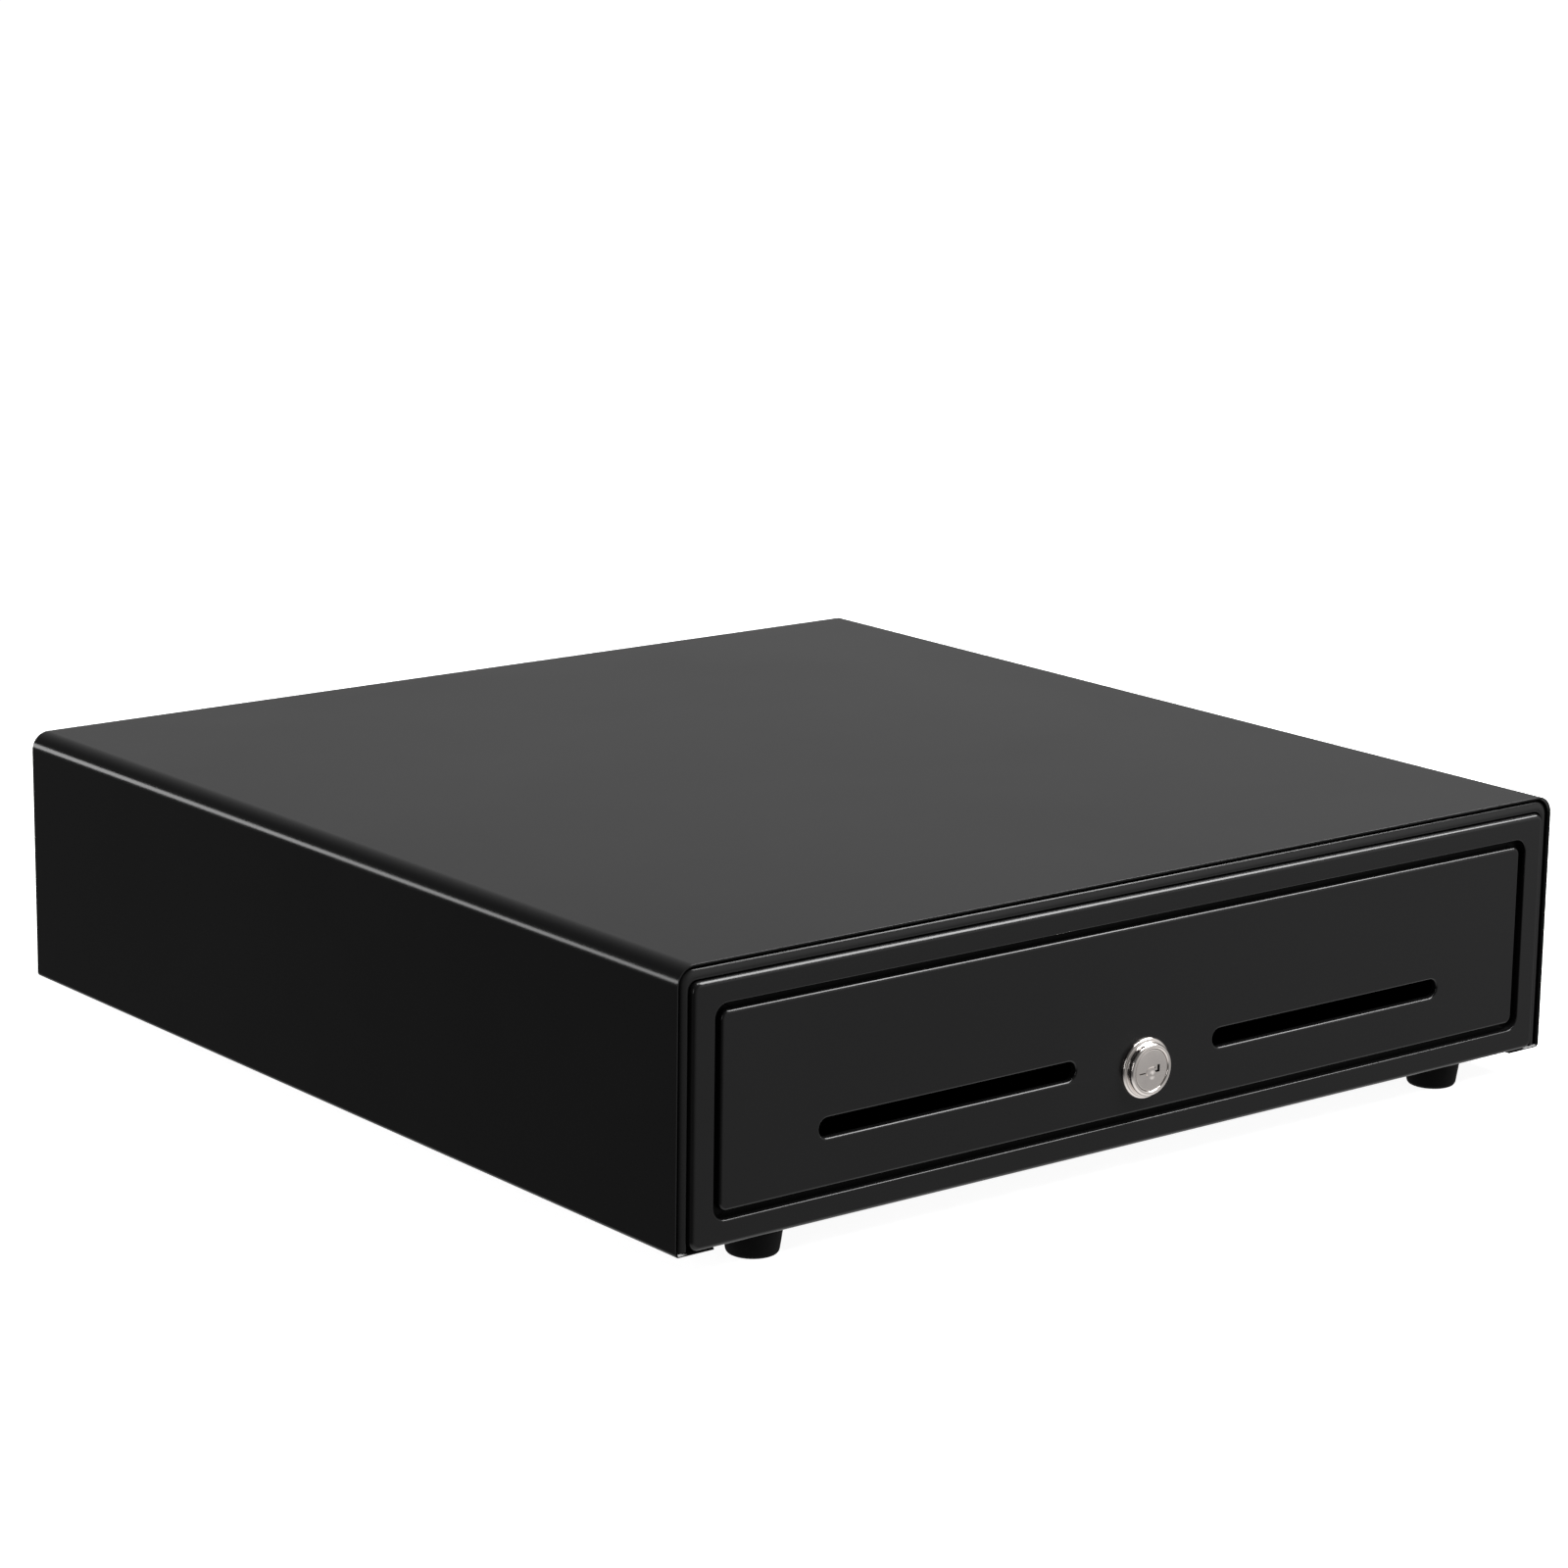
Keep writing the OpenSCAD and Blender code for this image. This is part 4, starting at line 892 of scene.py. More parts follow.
def makeSolenoid():
    s = solenoidShape
    (x1, x2), (z1, z2), (y1, y2) = s["yokeX"], s["yokeZ"], s["yokeY"]
    bracket = bentLine([(x1, z2), (x1, z1), (x2, z1), (x2, z2)], [1.8, 1.8])
    part = sheetSweep(bracket, s["strip"], y1, y2, alongY, 0.5)
    makePiece("solenoidYoke", [part], zincPlate, "case", ["solenoid_frame"])
    centre = at(0, s["y"], s["z"])
    low, high = s["windX"]
    bore, wound, pitch = s["bore"], s["windRadius"], s["wirePitch"]
    profile = [(bore, low), (wound - 0.25, low), (wound, low + 0.4)]
    x = low + 0.4
    while x < high - 0.8:
        profile += [(wound, x + pitch - 0.3), (wound - 0.15, x + pitch - 0.15), (wound + 0.05, x + pitch)]
        x += pitch
    profile += [(wound - 0.25, high), (bore, high)]
    winding = revolve(profile, centre, (1, 0, 0), 56, closed=True)
    makePiece("solenoidWinding", [winding], windingTape, "case", ["solenoid_coil"], 30.0)
    flanges = []
    wide = s["flangeRadius"]
    for a, b in ((low - s["flangeWidth"], low), (high, high + s["flangeWidth"])):
        ring = [(bore, a), (wide - 0.3, a), (wide, a + 0.3), (wide, b - 0.3), (wide - 0.3, b), (bore, b)]
        flanges.append(revolve(ring, centre, (1, 0, 0), 56, closed=True))
    makePiece("solenoidBobbinEnds", flanges, nylonWhite, "case")


# rods and pins, each from one end's (x, y, z) to the other's, with radius, chamfer and segments
rodShape = {
    "lockRod": ((0, 25, 28.5), (0, 381, 28.5), 2.5, 0.4, 32),
    "frontPin": ((-4.4, 29, 28.5), (4.4, 29, 28.5), 1.0, 0.2, 20),
    "rearPin": ((-4.9, 375, 28.5), (4.9, 375, 28.5), 1.0, 0.2, 20),
    "clipRod": ((-186, 346, 74), (186, 346, 74), 1.5, 0.3, 24),
    "plungerPin": ((37.5, 390, 16.8), (37.5, 390, 25.2), 1.5, 0.25, 24),
    "button": ((-50, 370.0, 13.2), (-50, 375.3, 13.2), 0.9, 0.3, 20),
}


def rodPart(label):
    start, end, radius, chamfer, segments = rodShape[label]
    return roundBar(at(*start), at(*end), radius, chamfer, segments)


def makeRods():
    makePiece("lockRod", [rodPart("lockRod")], zincPlate, "lock", ["lock_rod"])
    makePiece("lockRodPins", [rodPart("frontPin"), rodPart("rearPin")], springSteel, "lock",
              ["rod_pins"])
    makePiece("clipRod", [rodPart("clipRod")], springSteel, "drawer", ["clip_rod"])
    makePiece("plungerPin", [rodPart("plungerPin")], springSteel, "plunger", ["plunger_pin"])
    makePiece("switchButton", [rodPart("button")], nylonWhite, "switch_stem",
              ["switch_button"])


makeFeet()
makeGrommet()
makeSlides()
makeSolenoid()
makeRods()
print("feet, slides, solenoid and rods made")


# sheet, moulded and machined pieces taken from the frame with softened edges
softList = [
    ("chassis_pan", blackCoat, "case", "powder_black", 0.25),
    ("rear_panel", blackCoat, "case", "powder_black", 0.25),
    ("mechanism_bracket", zincPlate, "case", "zinc_steel", 0.25),
    ("latch_pivot_pin", zincPlate, "case", "zinc_steel", 0.3),
    ("eject_guides", zincPlate, "case", "zinc_steel", 0.25),
    ("switch_bracket", zincPlate, "case", "zinc_steel", 0.2),
    ("switch_body", blackRubber, "case", "rubber_black", 0.25),
    # the tray takes the darker copy of the black coat: painted shade in the groove behind the inset panel
    ("drawer_tray", grooveShadeCoat, "drawer", "powder_black", 0.25),
    ("till_rests", blackCoat, "drawer", "powder_black", 0.25),
    ("lock_nut", brightNickel, "drawer", "nickel", 0.4),
    ("striker", zincPlate, "drawer", "zinc_steel", 0.25),
    ("rod_bushing", nylonWhite, "drawer", "nylon_natural", 0.3),
    ("till", tillPlastic, "drawer", "till_black", 0.5),
    ("note_dividers", tillPlastic, "drawer", "till_black", 0.4),
    ("coin_tray", tillPlastic, "drawer", "till_black", 0.45),
    ("lock_finger", zincPlate, "lock", "zinc_steel", 0.35),
    ("latch_lever", zincPlate, "latch", "zinc_steel", 0.25),
    ("solenoid_plunger", zincPlate, "plunger", "zinc_steel", 0.35),
    ("left_ball_cage", zincPlate, "left_cage", "zinc_steel", 0.1),
    ("right_ball_cage", zincPlate, "right_cage", "zinc_steel", 0.1),
    ("switch_lever", springSteel, "switch_arm", "spring_steel", 0.1),
]
for node, material, body, slotName, width in softList:
    softened(node, material, body, width)
for k in range(1, 6):
    softened("note_clip_%d" % k, springSteel, "clip_%d" % k, 0.3)
print("softened pieces made")


# geometry nodes: fasteners, balls and springs

def startTree(name, inputs):
    tree = bpy.data.node_groups.new(name, "GeometryNodeTree")
    tree.interface.new_socket(name="Geometry", in_out="INPUT", socket_type="NodeSocketGeometry")
    for label, kind, value in inputs:
        made = tree.interface.new_socket(name=label, in_out="INPUT", socket_type=kind)
        if value is not None:
            made.default_value = value
    tree.interface.new_socket(name="Geometry", in_out="OUTPUT", socket_type="NodeSocketGeometry")
    return tree, tree.nodes.new("NodeGroupInput"), tree.nodes.new("NodeGroupOutput")


def geoNode(tree, kind, links=None, **settings):
    node = tree.nodes.new(kind)
    for label, value in settings.items():
        setattr(node, label, value)
    for key, value in (links or {}).items():
        socket = node.inputs[key]
        if isinstance(value, bpy.types.NodeSocket):
            tree.links.new(value, socket)
        else:
            socket.default_value = value
    return node


def geoMath(tree, operation, a, b=0.0):
    return geoNode(tree, "ShaderNodeMath", {0: a, 1: b}, operation=operation).outputs[0]


def geoVector(tree, x, y, z):
    return geoNode(tree, "ShaderNodeCombineXYZ", {"X": x, "Y": y, "Z": z}).outputs[0]


def endTree(tree, last, geometry, finish):
    real = geoNode(tree, "GeometryNodeRealizeInstances", {"Geometry": geometry})
    painted = geoNode(tree, "GeometryNodeSetMaterial", {"Geometry": real.outputs[0], "Material": finish})
    tree.links.new(painted.outputs[0], last.inputs[0])
    return tree


def buttonHead(tree, radius, height, dome, taper):
    # a round head from its seat at 0 up to height, its top domed and its side drawn in
    blank = geoNode(tree, "GeometryNodeMeshCylinder", {"Vertices": 28, "Side Segments": 5, "Fill Segments": 5,
                                                       "Radius": 1.0, "Depth": 1.0}, fill_type="TRIANGLE_FAN")
    raised = geoNode(tree, "GeometryNodeTransform", {"Geometry": blank.outputs["Mesh"],
                                                     "Translation": (0.0, 0.0, 0.5)})
    place = geoNode(tree, "GeometryNodeInputPosition").outputs[0]
    split = geoNode(tree, "ShaderNodeSeparateXYZ", {0: place})
    x, y, z = split.outputs
    square = geoMath(tree, "ADD", geoMath(tree, "MULTIPLY", x, x), geoMath(tree, "MULTIPLY", y, y))
    sink = geoMath(tree, "SUBTRACT", 1.0, geoMath(tree, "MULTIPLY", square, dome))
    newZ = geoMath(tree, "MULTIPLY", geoMath(tree, "MULTIPLY", z, sink), height)
    cube = geoMath(tree, "MULTIPLY", geoMath(tree, "MULTIPLY", z, z), z)
    narrow = geoMath(tree, "SUBTRACT", 1.0, geoMath(tree, "MULTIPLY", cube, taper))
    scale = geoMath(tree, "MULTIPLY", narrow, radius)
    shaped = geoVector(tree, geoMath(tree, "MULTIPLY", x, scale), geoMath(tree, "MULTIPLY", y, scale), newZ)
    moved = geoNode(tree, "GeometryNodeSetPosition", {"Geometry": raised.outputs[0], "Position": shaped})
    return moved.outputs[0]


def aimedTurn(tree):
    # the rotation that lays a copy's own axis along its point's aim
    aim = geoNode(tree, "GeometryNodeInputNamedAttribute", {"Name": "aim"}, data_type="FLOAT_VECTOR")
    found = {"Vector": aim.outputs["Attribute"]}
    return geoNode(tree, "FunctionNodeAlignRotationToVector", found, axis="Z").outputs[0]


def copyOnPoints(tree, first, prototype, rotation):
    return geoNode(tree, "GeometryNodeInstanceOnPoints", {
        "Points": first.outputs["Geometry"], "Instance": prototype, "Rotation": rotation}).outputs[0]


def placeOnPoints(tree, first, prototype, seed):
    # one copy at each point, along the point's aim and with a turn of its own
    facing = aimedTurn(tree)
    spin = geoNode(tree, "FunctionNodeRandomValue", {"Seed": seed}, data_type="FLOAT")
    spin.inputs[3].default_value = 2 * math.pi
    own = geoNode(tree, "FunctionNodeRotateRotation", {"Rotation": facing}, rotation_space="LOCAL")
    turn = geoNode(tree, "FunctionNodeEulerToRotation", {"Euler": geoVector(tree, 0.0, 0.0, spin.outputs[1])})
    tree.links.new(turn.outputs[0], own.inputs["Rotate By"])
    return copyOnPoints(tree, first, prototype, own.outputs[0])


def makeScrewTree():
    tree, first, last = startTree("screwSet", [
        ("Head radius", "NodeSocketFloat", 0.003), ("Head height", "NodeSocketFloat", 0.0015),
        ("Shank radius", "NodeSocketFloat", 0.0015), ("Shank length", "NodeSocketFloat", 0.005),
        ("Seed", "NodeSocketInt", 3), ("Finish", "NodeSocketMaterial", None)])
    radius = first.outputs["Head radius"]
    height = first.outputs["Head height"]
    head = buttonHead(tree, radius, height, 0.28, 0.1)
    arm = geoVector(tree, geoMath(tree, "MULTIPLY", radius, 1.1), geoMath(tree, "MULTIPLY", radius, 0.24),
                    geoMath(tree, "MULTIPLY", height, 1.1))
    lift = geoVector(tree, 0.0, 0.0, geoMath(tree, "MULTIPLY", height, 0.95))
    bars = []
    for turn in (0.0, math.pi / 2):
        bar = geoNode(tree, "GeometryNodeMeshCube", {"Size": arm})
        bars.append(geoNode(tree, "GeometryNodeTransform", {
            "Geometry": bar.outputs["Mesh"], "Translation": lift, "Rotation": (0.0, 0.0, turn)}).outputs[0])
    cut = geoNode(tree, "GeometryNodeMeshBoolean", {"Mesh 1": head}, operation="DIFFERENCE", solver="EXACT")
    for bar in bars:
        tree.links.new(bar, cut.inputs["Mesh 2"])
    shank = geoNode(tree, "GeometryNodeMeshCylinder", {
        "Vertices": 20, "Radius": first.outputs["Shank radius"], "Depth": first.outputs["Shank length"]})
    drop = geoVector(tree, 0.0, 0.0, geoMath(tree, "MULTIPLY", first.outputs["Shank length"], -0.5))
    sunk = geoNode(tree, "GeometryNodeTransform", {"Geometry": shank.outputs["Mesh"], "Translation": drop})
    both = geoNode(tree, "GeometryNodeJoinGeometry")
    tree.links.new(cut.outputs[0], both.inputs[0])
    tree.links.new(sunk.outputs[0], both.inputs[0])
    placed = placeOnPoints(tree, first, both.outputs[0], first.outputs["Seed"])
    return endTree(tree, last, placed, first.outputs["Finish"])


def makeRivetTree():
    tree, first, last = startTree("rivetSet", [
        ("Head radius", "NodeSocketFloat", 0.0032), ("Head height", "NodeSocketFloat", 0.0011),
        ("Tail height", "NodeSocketFloat", 0.0004), ("Shank radius", "NodeSocketFloat", 0.0019),
        ("Grip", "NodeSocketFloat", 0.002), ("Seed", "NodeSocketInt", 5),
        ("Finish", "NodeSocketMaterial", None)])
    grip = first.outputs["Grip"]
    head = buttonHead(tree, first.outputs["Head radius"], first.outputs["Head height"], 0.72, 0.06)
    tail = buttonHead(tree, first.outputs["Head radius"], first.outputs["Tail height"], 0.55, 0.06)
    under = geoNode(tree, "GeometryNodeTransform", {
        "Geometry": tail, "Translation": geoVector(tree, 0.0, 0.0, geoMath(tree, "MULTIPLY", grip, -1.0)),
        "Rotation": (math.pi, 0.0, 0.0)})
    shank = geoNode(tree, "GeometryNodeMeshCylinder", {
        "Vertices": 20, "Radius": first.outputs["Shank radius"], "Depth": grip})
    sunk = geoNode(tree, "GeometryNodeTransform", {
        "Geometry": shank.outputs["Mesh"],
        "Translation": geoVector(tree, 0.0, 0.0, geoMath(tree, "MULTIPLY", grip, -0.5))})
    both = geoNode(tree, "GeometryNodeJoinGeometry")
    for geometry in (head, under.outputs[0], sunk.outputs[0]):
        tree.links.new(geometry, both.inputs[0])
    placed = placeOnPoints(tree, first, both.outputs[0], first.outputs["Seed"])
    return endTree(tree, last, placed, first.outputs["Finish"])


def makeBallTree():
    tree, first, last = startTree("ballSet", [
        ("Ball radius", "NodeSocketFloat", 0.002), ("Finish", "NodeSocketMaterial", None)])
    ball = geoNode(tree, "GeometryNodeMeshUVSphere", {"Segments": 24, "Rings": 14,
                                                      "Radius": first.outputs["Ball radius"]})
    placed = geoNode(tree, "GeometryNodeInstanceOnPoints", {
        "Points": first.outputs["Geometry"], "Instance": ball.outputs["Mesh"]}).outputs[0]
    return endTree(tree, last, placed, first.outputs["Finish"])


def makeSpringTree():
    tree, first, last = startTree("coilSpring", [
        ("Turns", "NodeSocketFloat", 8.0), ("Coil radius", "NodeSocketFloat", 0.006),
        ("Wire radius", "NodeSocketFloat", 0.0008), ("Length", "NodeSocketFloat", 0.03),
        ("Finish", "NodeSocketMaterial", None)])
    helix = geoNode(tree, "GeometryNodeCurveSpiral", {
        "Resolution": 22, "Rotations": first.outputs["Turns"], "Start Radius": first.outputs["Coil radius"],
        "End Radius": first.outputs["Coil radius"], "Height": first.outputs["Length"], "Reverse": False})
    wire = geoNode(tree, "GeometryNodeCurvePrimitiveCircle", {"Resolution": 9,
                                                              "Radius": first.outputs["Wire radius"]})
    swept = geoNode(tree, "GeometryNodeCurveToMesh", {
        "Curve": helix.outputs[0], "Profile Curve": wire.outputs["Curve"], "Fill Caps": True})
    placed = copyOnPoints(tree, first, swept.outputs[0], aimedTurn(tree))
    return endTree(tree, last, placed, first.outputs["Finish"])


def runTree(name, tree, spots, values, material, body, nodes, extra=()):
    # spots are (point, aim) pairs in the row frame; the result becomes one plain mesh
    mesh = bpy.data.meshes.new(name)
    mesh.from_pydata([p for p, aim in spots], [], [])
    aims = mesh.attributes.new("aim", "FLOAT_VECTOR", "POINT")
    for k, (p, aim) in enumerate(spots):
        aims.data[k].vector = aim
    piece = bpy.data.objects.new(name, mesh)
    modifier = piece.modifiers.new("repeat", "NODES")
    modifier.node_group = tree
    for item in tree.interface.items_tree:
        if item.item_type == "SOCKET" and item.in_out == "INPUT":
            if item.name in values:
                modifier[item.identifier] = values[item.name]
            elif item.name == "Finish":
                modifier[item.identifier] = material
    scene.collection.objects.link(piece)
    plainMesh(piece)
    if extra:
        shape = bmesh.new()
        shape.from_mesh(piece.data)
        for points, faces in extra:
            verts = [shape.verts.new(p) for p in points]
            for face in faces:
                corners = [verts[i] for i in face]
                if len(set(corners)) > 2:
                    shape.faces.new(corners)
        bmesh.ops.remove_doubles(shape, verts=shape.verts, dist=1e-7)
        bmesh.ops.recalc_face_normals(shape, faces=shape.faces)
        shape.to_mesh(piece.data)
        shape.free()
    for leftover in list(piece.data.attributes):
        if leftover.name == "aim":
            piece.data.attributes.remove(leftover)
    dressMesh(piece, material, 38.0)
    return joinFrame(piece, body, nodes)


screwTree = makeScrewTree()
rivetTree = makeRivetTree()
ballTree = makeBallTree()
springTree = makeSpringTree()


# screws: head radius and height, shank radius and length, seed of their turns
screwSizes = {
    "rear": (3, 1.4, 1.5, 6, 3),
    "cover": (3, 1.6, 1.5, 5, 4),
    "foot": (4, 2, 2, 5.4, 7),
    "bracket": (3, 1.5, 1.5, 2.9, 2),
    "switch": (2, 1.2, 1.1, 9.9, 9),
    "front": (2.8, 1.6, 1.4, 2.5, 11),
    "rail": (3, 1.5, 1.5, 3.2, 12),
}
# rivets: head radius, head and tail height, shank radius, thickness held
rivetSizes = {
    "frame": (3.2, 1.1, 0.4, 1.9, 2.0),
    "rail": (3.2, 0.5, 0.4, 1.9, 2.2),
    "striker": (2.6, 1.0, 0.8, 1.5, 2.5),
}
backwards = (0, 1, 0)
downwards = (0, 0, -1)
upwards = (0, 0, 1)


def sized(labels, sizes):
    return {label: size * millimetre for label, size in zip(labels, sizes)}


def bothSides(x, y, z, aim):
    return [(at(side * x, y, z), Vector((side * aim[0], aim[1], aim[2]))) for side in (-1, 1)]


def aimed(places, aim):
    return [(at(*place), Vector(aim)) for place in places]


def gather(found):
    return [spot for group in found for spot in group]


def screwSet(label, spots, body, name, node):
    values = sized(("Head radius", "Head height", "Shank radius", "Shank length"), screwSizes[label][:4])
    values["Seed"] = screwSizes[label][4]
    runTree(name, screwTree, spots, values, zincPlate, body, [node])


def rivetSet(label, spots, body, name, node):
    values = sized(("Head radius", "Head height", "Tail height", "Shank radius", "Grip"), rivetSizes[label])
    runTree(name, rivetTree, spots, {**values, "Seed": 5}, zincPlate, body, [node])


def makeFasteners():
    rear = gather(bothSides(194, 413.4, z, backwards) for z in (20, 70))
    screwSet("rear", rear, "case", "rearScrews", "rear_screws")
    under = gather(bothSides(196.5, y, 0, downwards) for y in (60, 207, 355))
    screwSet("cover", under, "case", "coverScrews", "cover_screws")
    feet = aimed([(x, y, footShape["recessTop"]) for x, y in footSpots()], downwards)
    screwSet("foot", feet, "case", "footScrews", "foot_screws")
    bracket = aimed([(x, 392, 3.5) for x in (30, 98)], upwards)
    screwSet("bracket", bracket, "case", "bracketScrews", "bracket_screws")
    switch = aimed([(x, 380.5, 16.4) for x in (-57, -46)], upwards)
    screwSet("switch", switch, "case", "switchScrews", "switch_screws")
    front = gather(bothSides(s["screwX"], 2.5, z, backwards) for s in (plateShape, insetShape)
                   for z in s["screwZ"])
    screwSet("front", front, "drawer", "frontScrews", "front_screws")
    middle = slideShape["mid"]
    rails = gather(bothSides(191.2, y, middle, (1, 0, 0)) for y in (34, 180, 330))
    screwSet("rail", rails, "drawer", "innerRailScrews", "inner_rail_screws")
    legs = gather(bothSides(frameShape["tabX"][0], 21, z, (-1, 0, 0)) for z in frameShape["tabZ"])
    rivetSet("frame", legs, "case", "frameRivets", "frame_rivets")
    webs = gather(bothSides(201.2, y, middle, (-1, 0, 0)) for y in (40, 186, 340))
    rivetSet("rail", webs, "case", "railRivets", "rail_rivets")
    plates = aimed([(x, 367.5, 30) for x in (18.5, 26)], backwards)
    rivetSet("striker", plates, "drawer", "strikerRivets", "striker_rivets")


# slide balls: two rows in each cage, above and below its middle
ballShape = {"x": 197.4, "first": 156, "pitch": 10, "count": 7, "rowOffset": 14.2, "radius": 2.0}


def makeBalls():
    s = ballShape
    for side, label in ((-1, "left"), (1, "right")):
        places = [(side * s["x"], s["first"] + s["pitch"] * k, slideShape["mid"] + end * s["rowOffset"])
                  for k in range(s["count"]) for end in (-1, 1)]
        runTree(label + "SlideBalls", ballTree, aimed(places, upwards), sized(["Ball radius"], [s["radius"]]),
                springSteel, label + "_cage", [label + "_slide_balls"])


# springs: coil radius, wire radius and length, with their turns apart
springSizes = {"eject": (6, 0.8, 33.8), "latch": (3.75, 0.45, 4.2), "clip": (2.9, 0.4, 3.4)}
springTurns = {"eject": 9.0, "latch": 4.5, "clip": 5.0}
clipShape = {"count": 5, "first": -148.8, "pitch": 74.4, "rodY": 346, "rodZ": 74, "coilX": 13.2,
             "tailX": 16.6, "tailY": 359.8, "tailZ": 76.9}


def springSet(label, spots, body, name, node, legs=()):
    values = sized(("Coil radius", "Wire radius", "Length"), springSizes[label])
    values["Turns"] = springTurns[label]
    runTree(name, springTree, spots, values, springSteel, body, [node], legs)


def wireLeg(label, start, end):
    return tubeAlong([at(*start), at(*end)], springSizes[label][1], 10)


def makeSprings():
    springSet("eject", bothSides(140, 367.4, 40, backwards), "case", "ejectSprings", "eject_springs")
    latchLegs = [wireLeg("latch", (36, 398.3, 23.2), (26.5, 398.3, 23.1)),
                 wireLeg("latch", (26.5, 398.3, 23.2), (26.5, 398.3, 20.0)),
                 wireLeg("latch", (36, 405.7, 27.1), (49, 405.7, 27.1))]
    springSet("latch", aimed([(36, 402, 23)], upwards), "case", "latchSpring", "latch_spring", latchLegs)
    s = clipShape
    clips = [s["first"] + s["pitch"] * k for k in range(s["count"])]
    spots = aimed([(x + s["coilX"], s["rodY"], s["rodZ"]) for x in clips], (1, 0, 0))
    tailXs = [x + s["tailX"] for x in clips]
    tails = [wireLeg("clip", (x, s["rodY"], s["tailZ"]), (x, s["tailY"], s["tailZ"])) for x in tailXs]
    springSet("clip", spots, "drawer", "clipSprings", "clip_springs", tails)


makeFasteners()
makeBalls()
makeSprings()
print("fasteners, balls and springs made")


# floor, light and camera
studio = {"floorSize": 16.0, "floorColour": (0.85, 0.85, 0.85), "floorGlow": 0.93, "whiteBack": 1.0,
          "ambient": 0.12, "leftTone": 0.1, "rightTone": 0.12, "frontTone": 0.3, "backTone": 0.17,
          "aboveTone": 0.55, "belowTone": 0.8}


def makeFloor():
    half = studio["floorSize"] / 2
    mesh = bpy.data.meshes.new("studioFloor")
    corners = [(-half, -half, 0), (half, -half, 0), (half, half, 0), (-half, half, 0)]
    mesh.from_pydata(corners, [], [(0, 1, 2, 3)])
    floor = bpy.data.objects.new("studioFloor", mesh)
    scene.collection.objects.link(floor)
    material, shader, place = startMaterial("paleFloor")
    drift = useGroup(material, driftGroup, {"Scale": 2.0, "Low": 0.75, "High": 0.85}, place)
    material.node_tree.links.new(drift.outputs["Value"], shader.inputs["Roughness"])
    shader.inputs["Base Color"].default_value = rgb(studio["floorColour"])
    shader.inputs["Specular IOR Level"].default_value = 0.1
    shader.inputs["Emission Color"].default_value = (1.0, 1.0, 1.0, 1.0)
    rays = material.node_tree.nodes.new("ShaderNodeLightPath")
    glow = mathNode(material.node_tree, "MULTIPLY", rays.outputs["Is Camera Ray"], studio["floorGlow"])
    material.node_tree.links.new(glow, shader.inputs["Emission Strength"])
    mesh.materials.append(material)
    floor.visible_glossy = False
    floor.visible_diffuse = False
    return floor


def aimAt(thing, target):
    direction = Vector(target) - thing.location
    thing.rotation_euler = direction.to_track_quat("-Z", "Y").to_euler()


def makeSoftbox(name, location, target, width, height, power):
    data = bpy.data.lights.new(name, "AREA")
    data.shape = "RECTANGLE"
    data.size = width
    data.size_y = height
    data.energy = power
    box = bpy.data.objects.new(name, data)
    box.location = location
    scene.collection.objects.link(box)
    aimAt(box, target)
    return box


# name, place, what it faces, width and height in metres, watts
lightPlan = [
    ("overheadSoftbox", (0.82, -0.62, 1.3), (0.0, -0.2, 0.1), 0.9, 1.1, 48.0),
    ("backSoftbox", (-1.35, 1.4, 0.3), (-0.2, 0.0, 0.06), 1.1, 0.34, 6.5),
    ("topLamp", (-0.08, -0.3, 1.5), (0.0, -0.2, 0.05), 0.35, 0.35, 8.0),
    ("leftStrip", (-1.55, -0.75, 0.4), (0.0, -0.2, 0.05), 0.14, 0.9, 2.2),
]


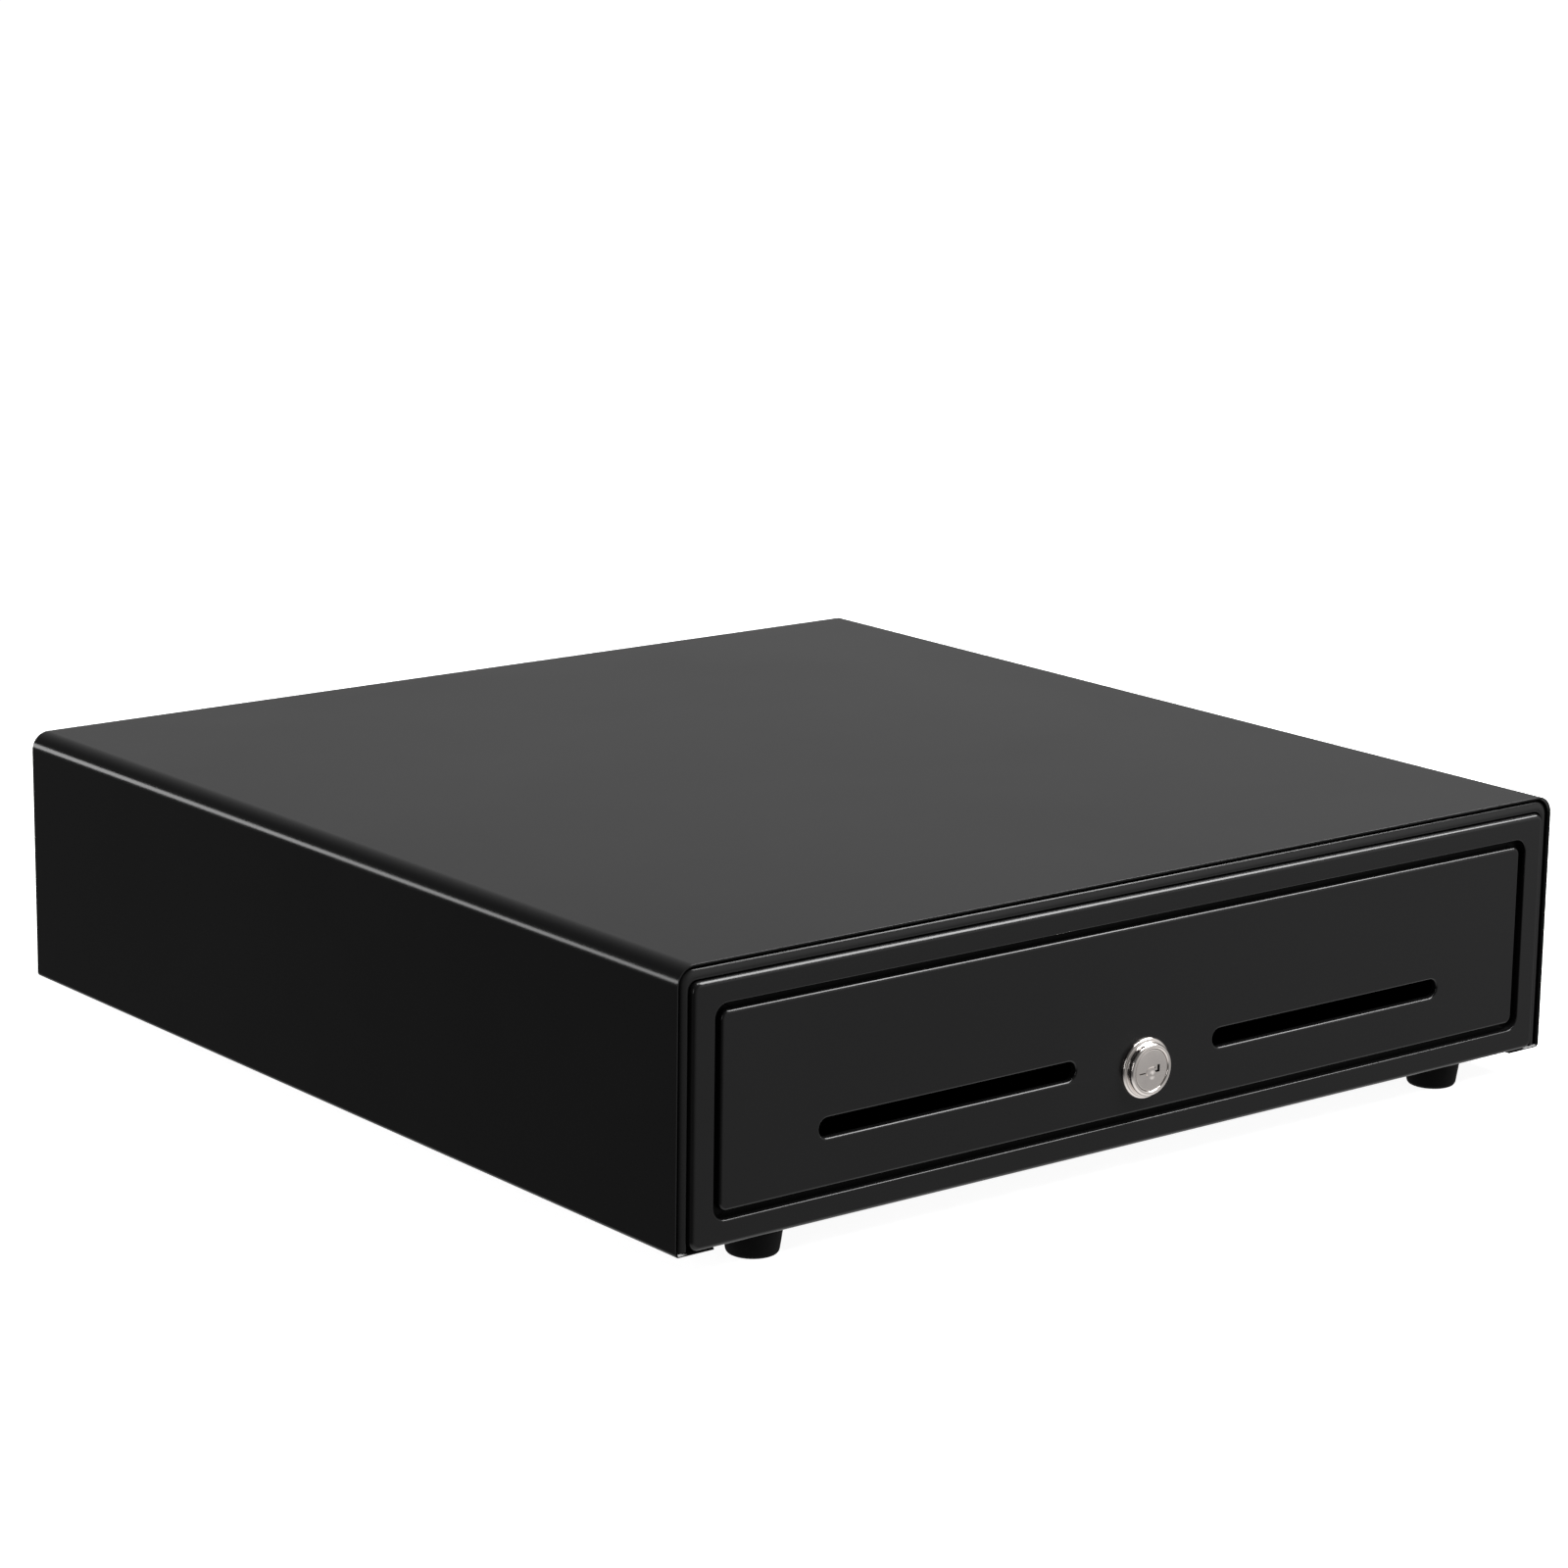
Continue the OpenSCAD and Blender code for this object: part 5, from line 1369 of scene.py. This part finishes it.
def makeWorld():
    world = bpy.data.worlds.new("softStudio")
    scene.world = world
    world.use_nodes = True
    tree = world.node_tree
    tree.nodes.clear()
    direction = tree.nodes.new("ShaderNodeTexCoord").outputs["Generated"]
    split = tree.nodes.new("ShaderNodeSeparateXYZ")
    tree.links.new(direction, split.inputs[0])
    x, y, z = split.outputs
    right = rangeNode(tree, x, -0.6, 0.7, studio["leftTone"], studio["rightTone"])
    below = rangeNode(tree, z, -0.35, -0.75, 0.0, studio["belowTone"])     # pale floor straight below

    def towards(aim, low, high, tone):
        # a soft patch of tone round one direction
        facing = tree.nodes.new("ShaderNodeVectorMath")
        facing.operation = "DOT_PRODUCT"
        facing.inputs[1].default_value = aim
        tree.links.new(direction, facing.inputs[0])
        return rangeNode(tree, facing.outputs["Value"], low, high, 0.0, tone)

    front = towards((0.61, -0.76, -0.23), 0.3, 0.9, studio["frontTone"])
    back = towards((0.61, 0.76, 0.23), 0.6, 0.95, studio["backTone"])
    above = towards((0.66, -0.71, 0.25), 0.86, 0.98, studio["aboveTone"])
    front = mathNode(tree, "ADD", front, above)
    total = mathNode(tree, "ADD", mathNode(tree, "ADD", right, below), mathNode(tree, "ADD", front, back))
    rays = tree.nodes.new("ShaderNodeLightPath")
    notGlossy = mathNode(tree, "SUBTRACT", 1.0, rays.outputs["Is Glossy Ray"])
    diffuseShare = mathNode(tree, "MULTIPLY", notGlossy, studio["ambient"])
    glossyShare = mathNode(tree, "MULTIPLY", total, rays.outputs["Is Glossy Ray"])
    indirect = mathNode(tree, "ADD", diffuseShare, glossyShare)
    seen = rays.outputs["Is Camera Ray"]
    hidden = mathNode(tree, "SUBTRACT", 1.0, seen)
    level = mathNode(tree, "ADD", mathNode(tree, "MULTIPLY", indirect, hidden),
                     mathNode(tree, "MULTIPLY", seen, studio["whiteBack"]))
    backdrop = tree.nodes.new("ShaderNodeBackground")
    backdrop.inputs["Color"].default_value = (1.0, 1.0, 1.0, 1.0)
    tree.links.new(level, backdrop.inputs["Strength"])
    output = tree.nodes.new("ShaderNodeOutputWorld")
    tree.links.new(backdrop.outputs[0], output.inputs["Surface"])


cameraPlan = {"location": (-1.0523, -1.31764, 0.5004), "yaw": 38.65, "pitch": 13.344, "roll": 0.813,
              "lens": 104.41, "sensor": 36.0}


def makeCamera():
    c = cameraPlan
    yaw, pitch, roll = (math.radians(c[k]) for k in ("yaw", "pitch", "roll"))
    forward = Vector((math.sin(yaw) * math.cos(pitch), math.cos(yaw) * math.cos(pitch), -math.sin(pitch)))
    right = Vector((math.cos(yaw), -math.sin(yaw), 0.0))
    up = right.cross(forward)
    across = right * math.cos(roll) + up * math.sin(roll)
    upright = up * math.cos(roll) - right * math.sin(roll)
    data = bpy.data.cameras.new("studioCamera")
    data.lens = c["lens"]
    data.sensor_width = c["sensor"]
    data.clip_end = 50.0
    camera = bpy.data.objects.new("studioCamera", data)
    turn = Matrix((across, upright, -forward)).transposed().to_4x4()
    camera.matrix_world = Matrix.Translation(c["location"]) @ turn
    scene.collection.objects.link(camera)
    scene.camera = camera


makeFloor()
for plan in lightPlan:
    makeSoftbox(*plan)
makeWorld()
makeCamera()
scene.view_settings.view_transform = "Standard"
print("studio made")
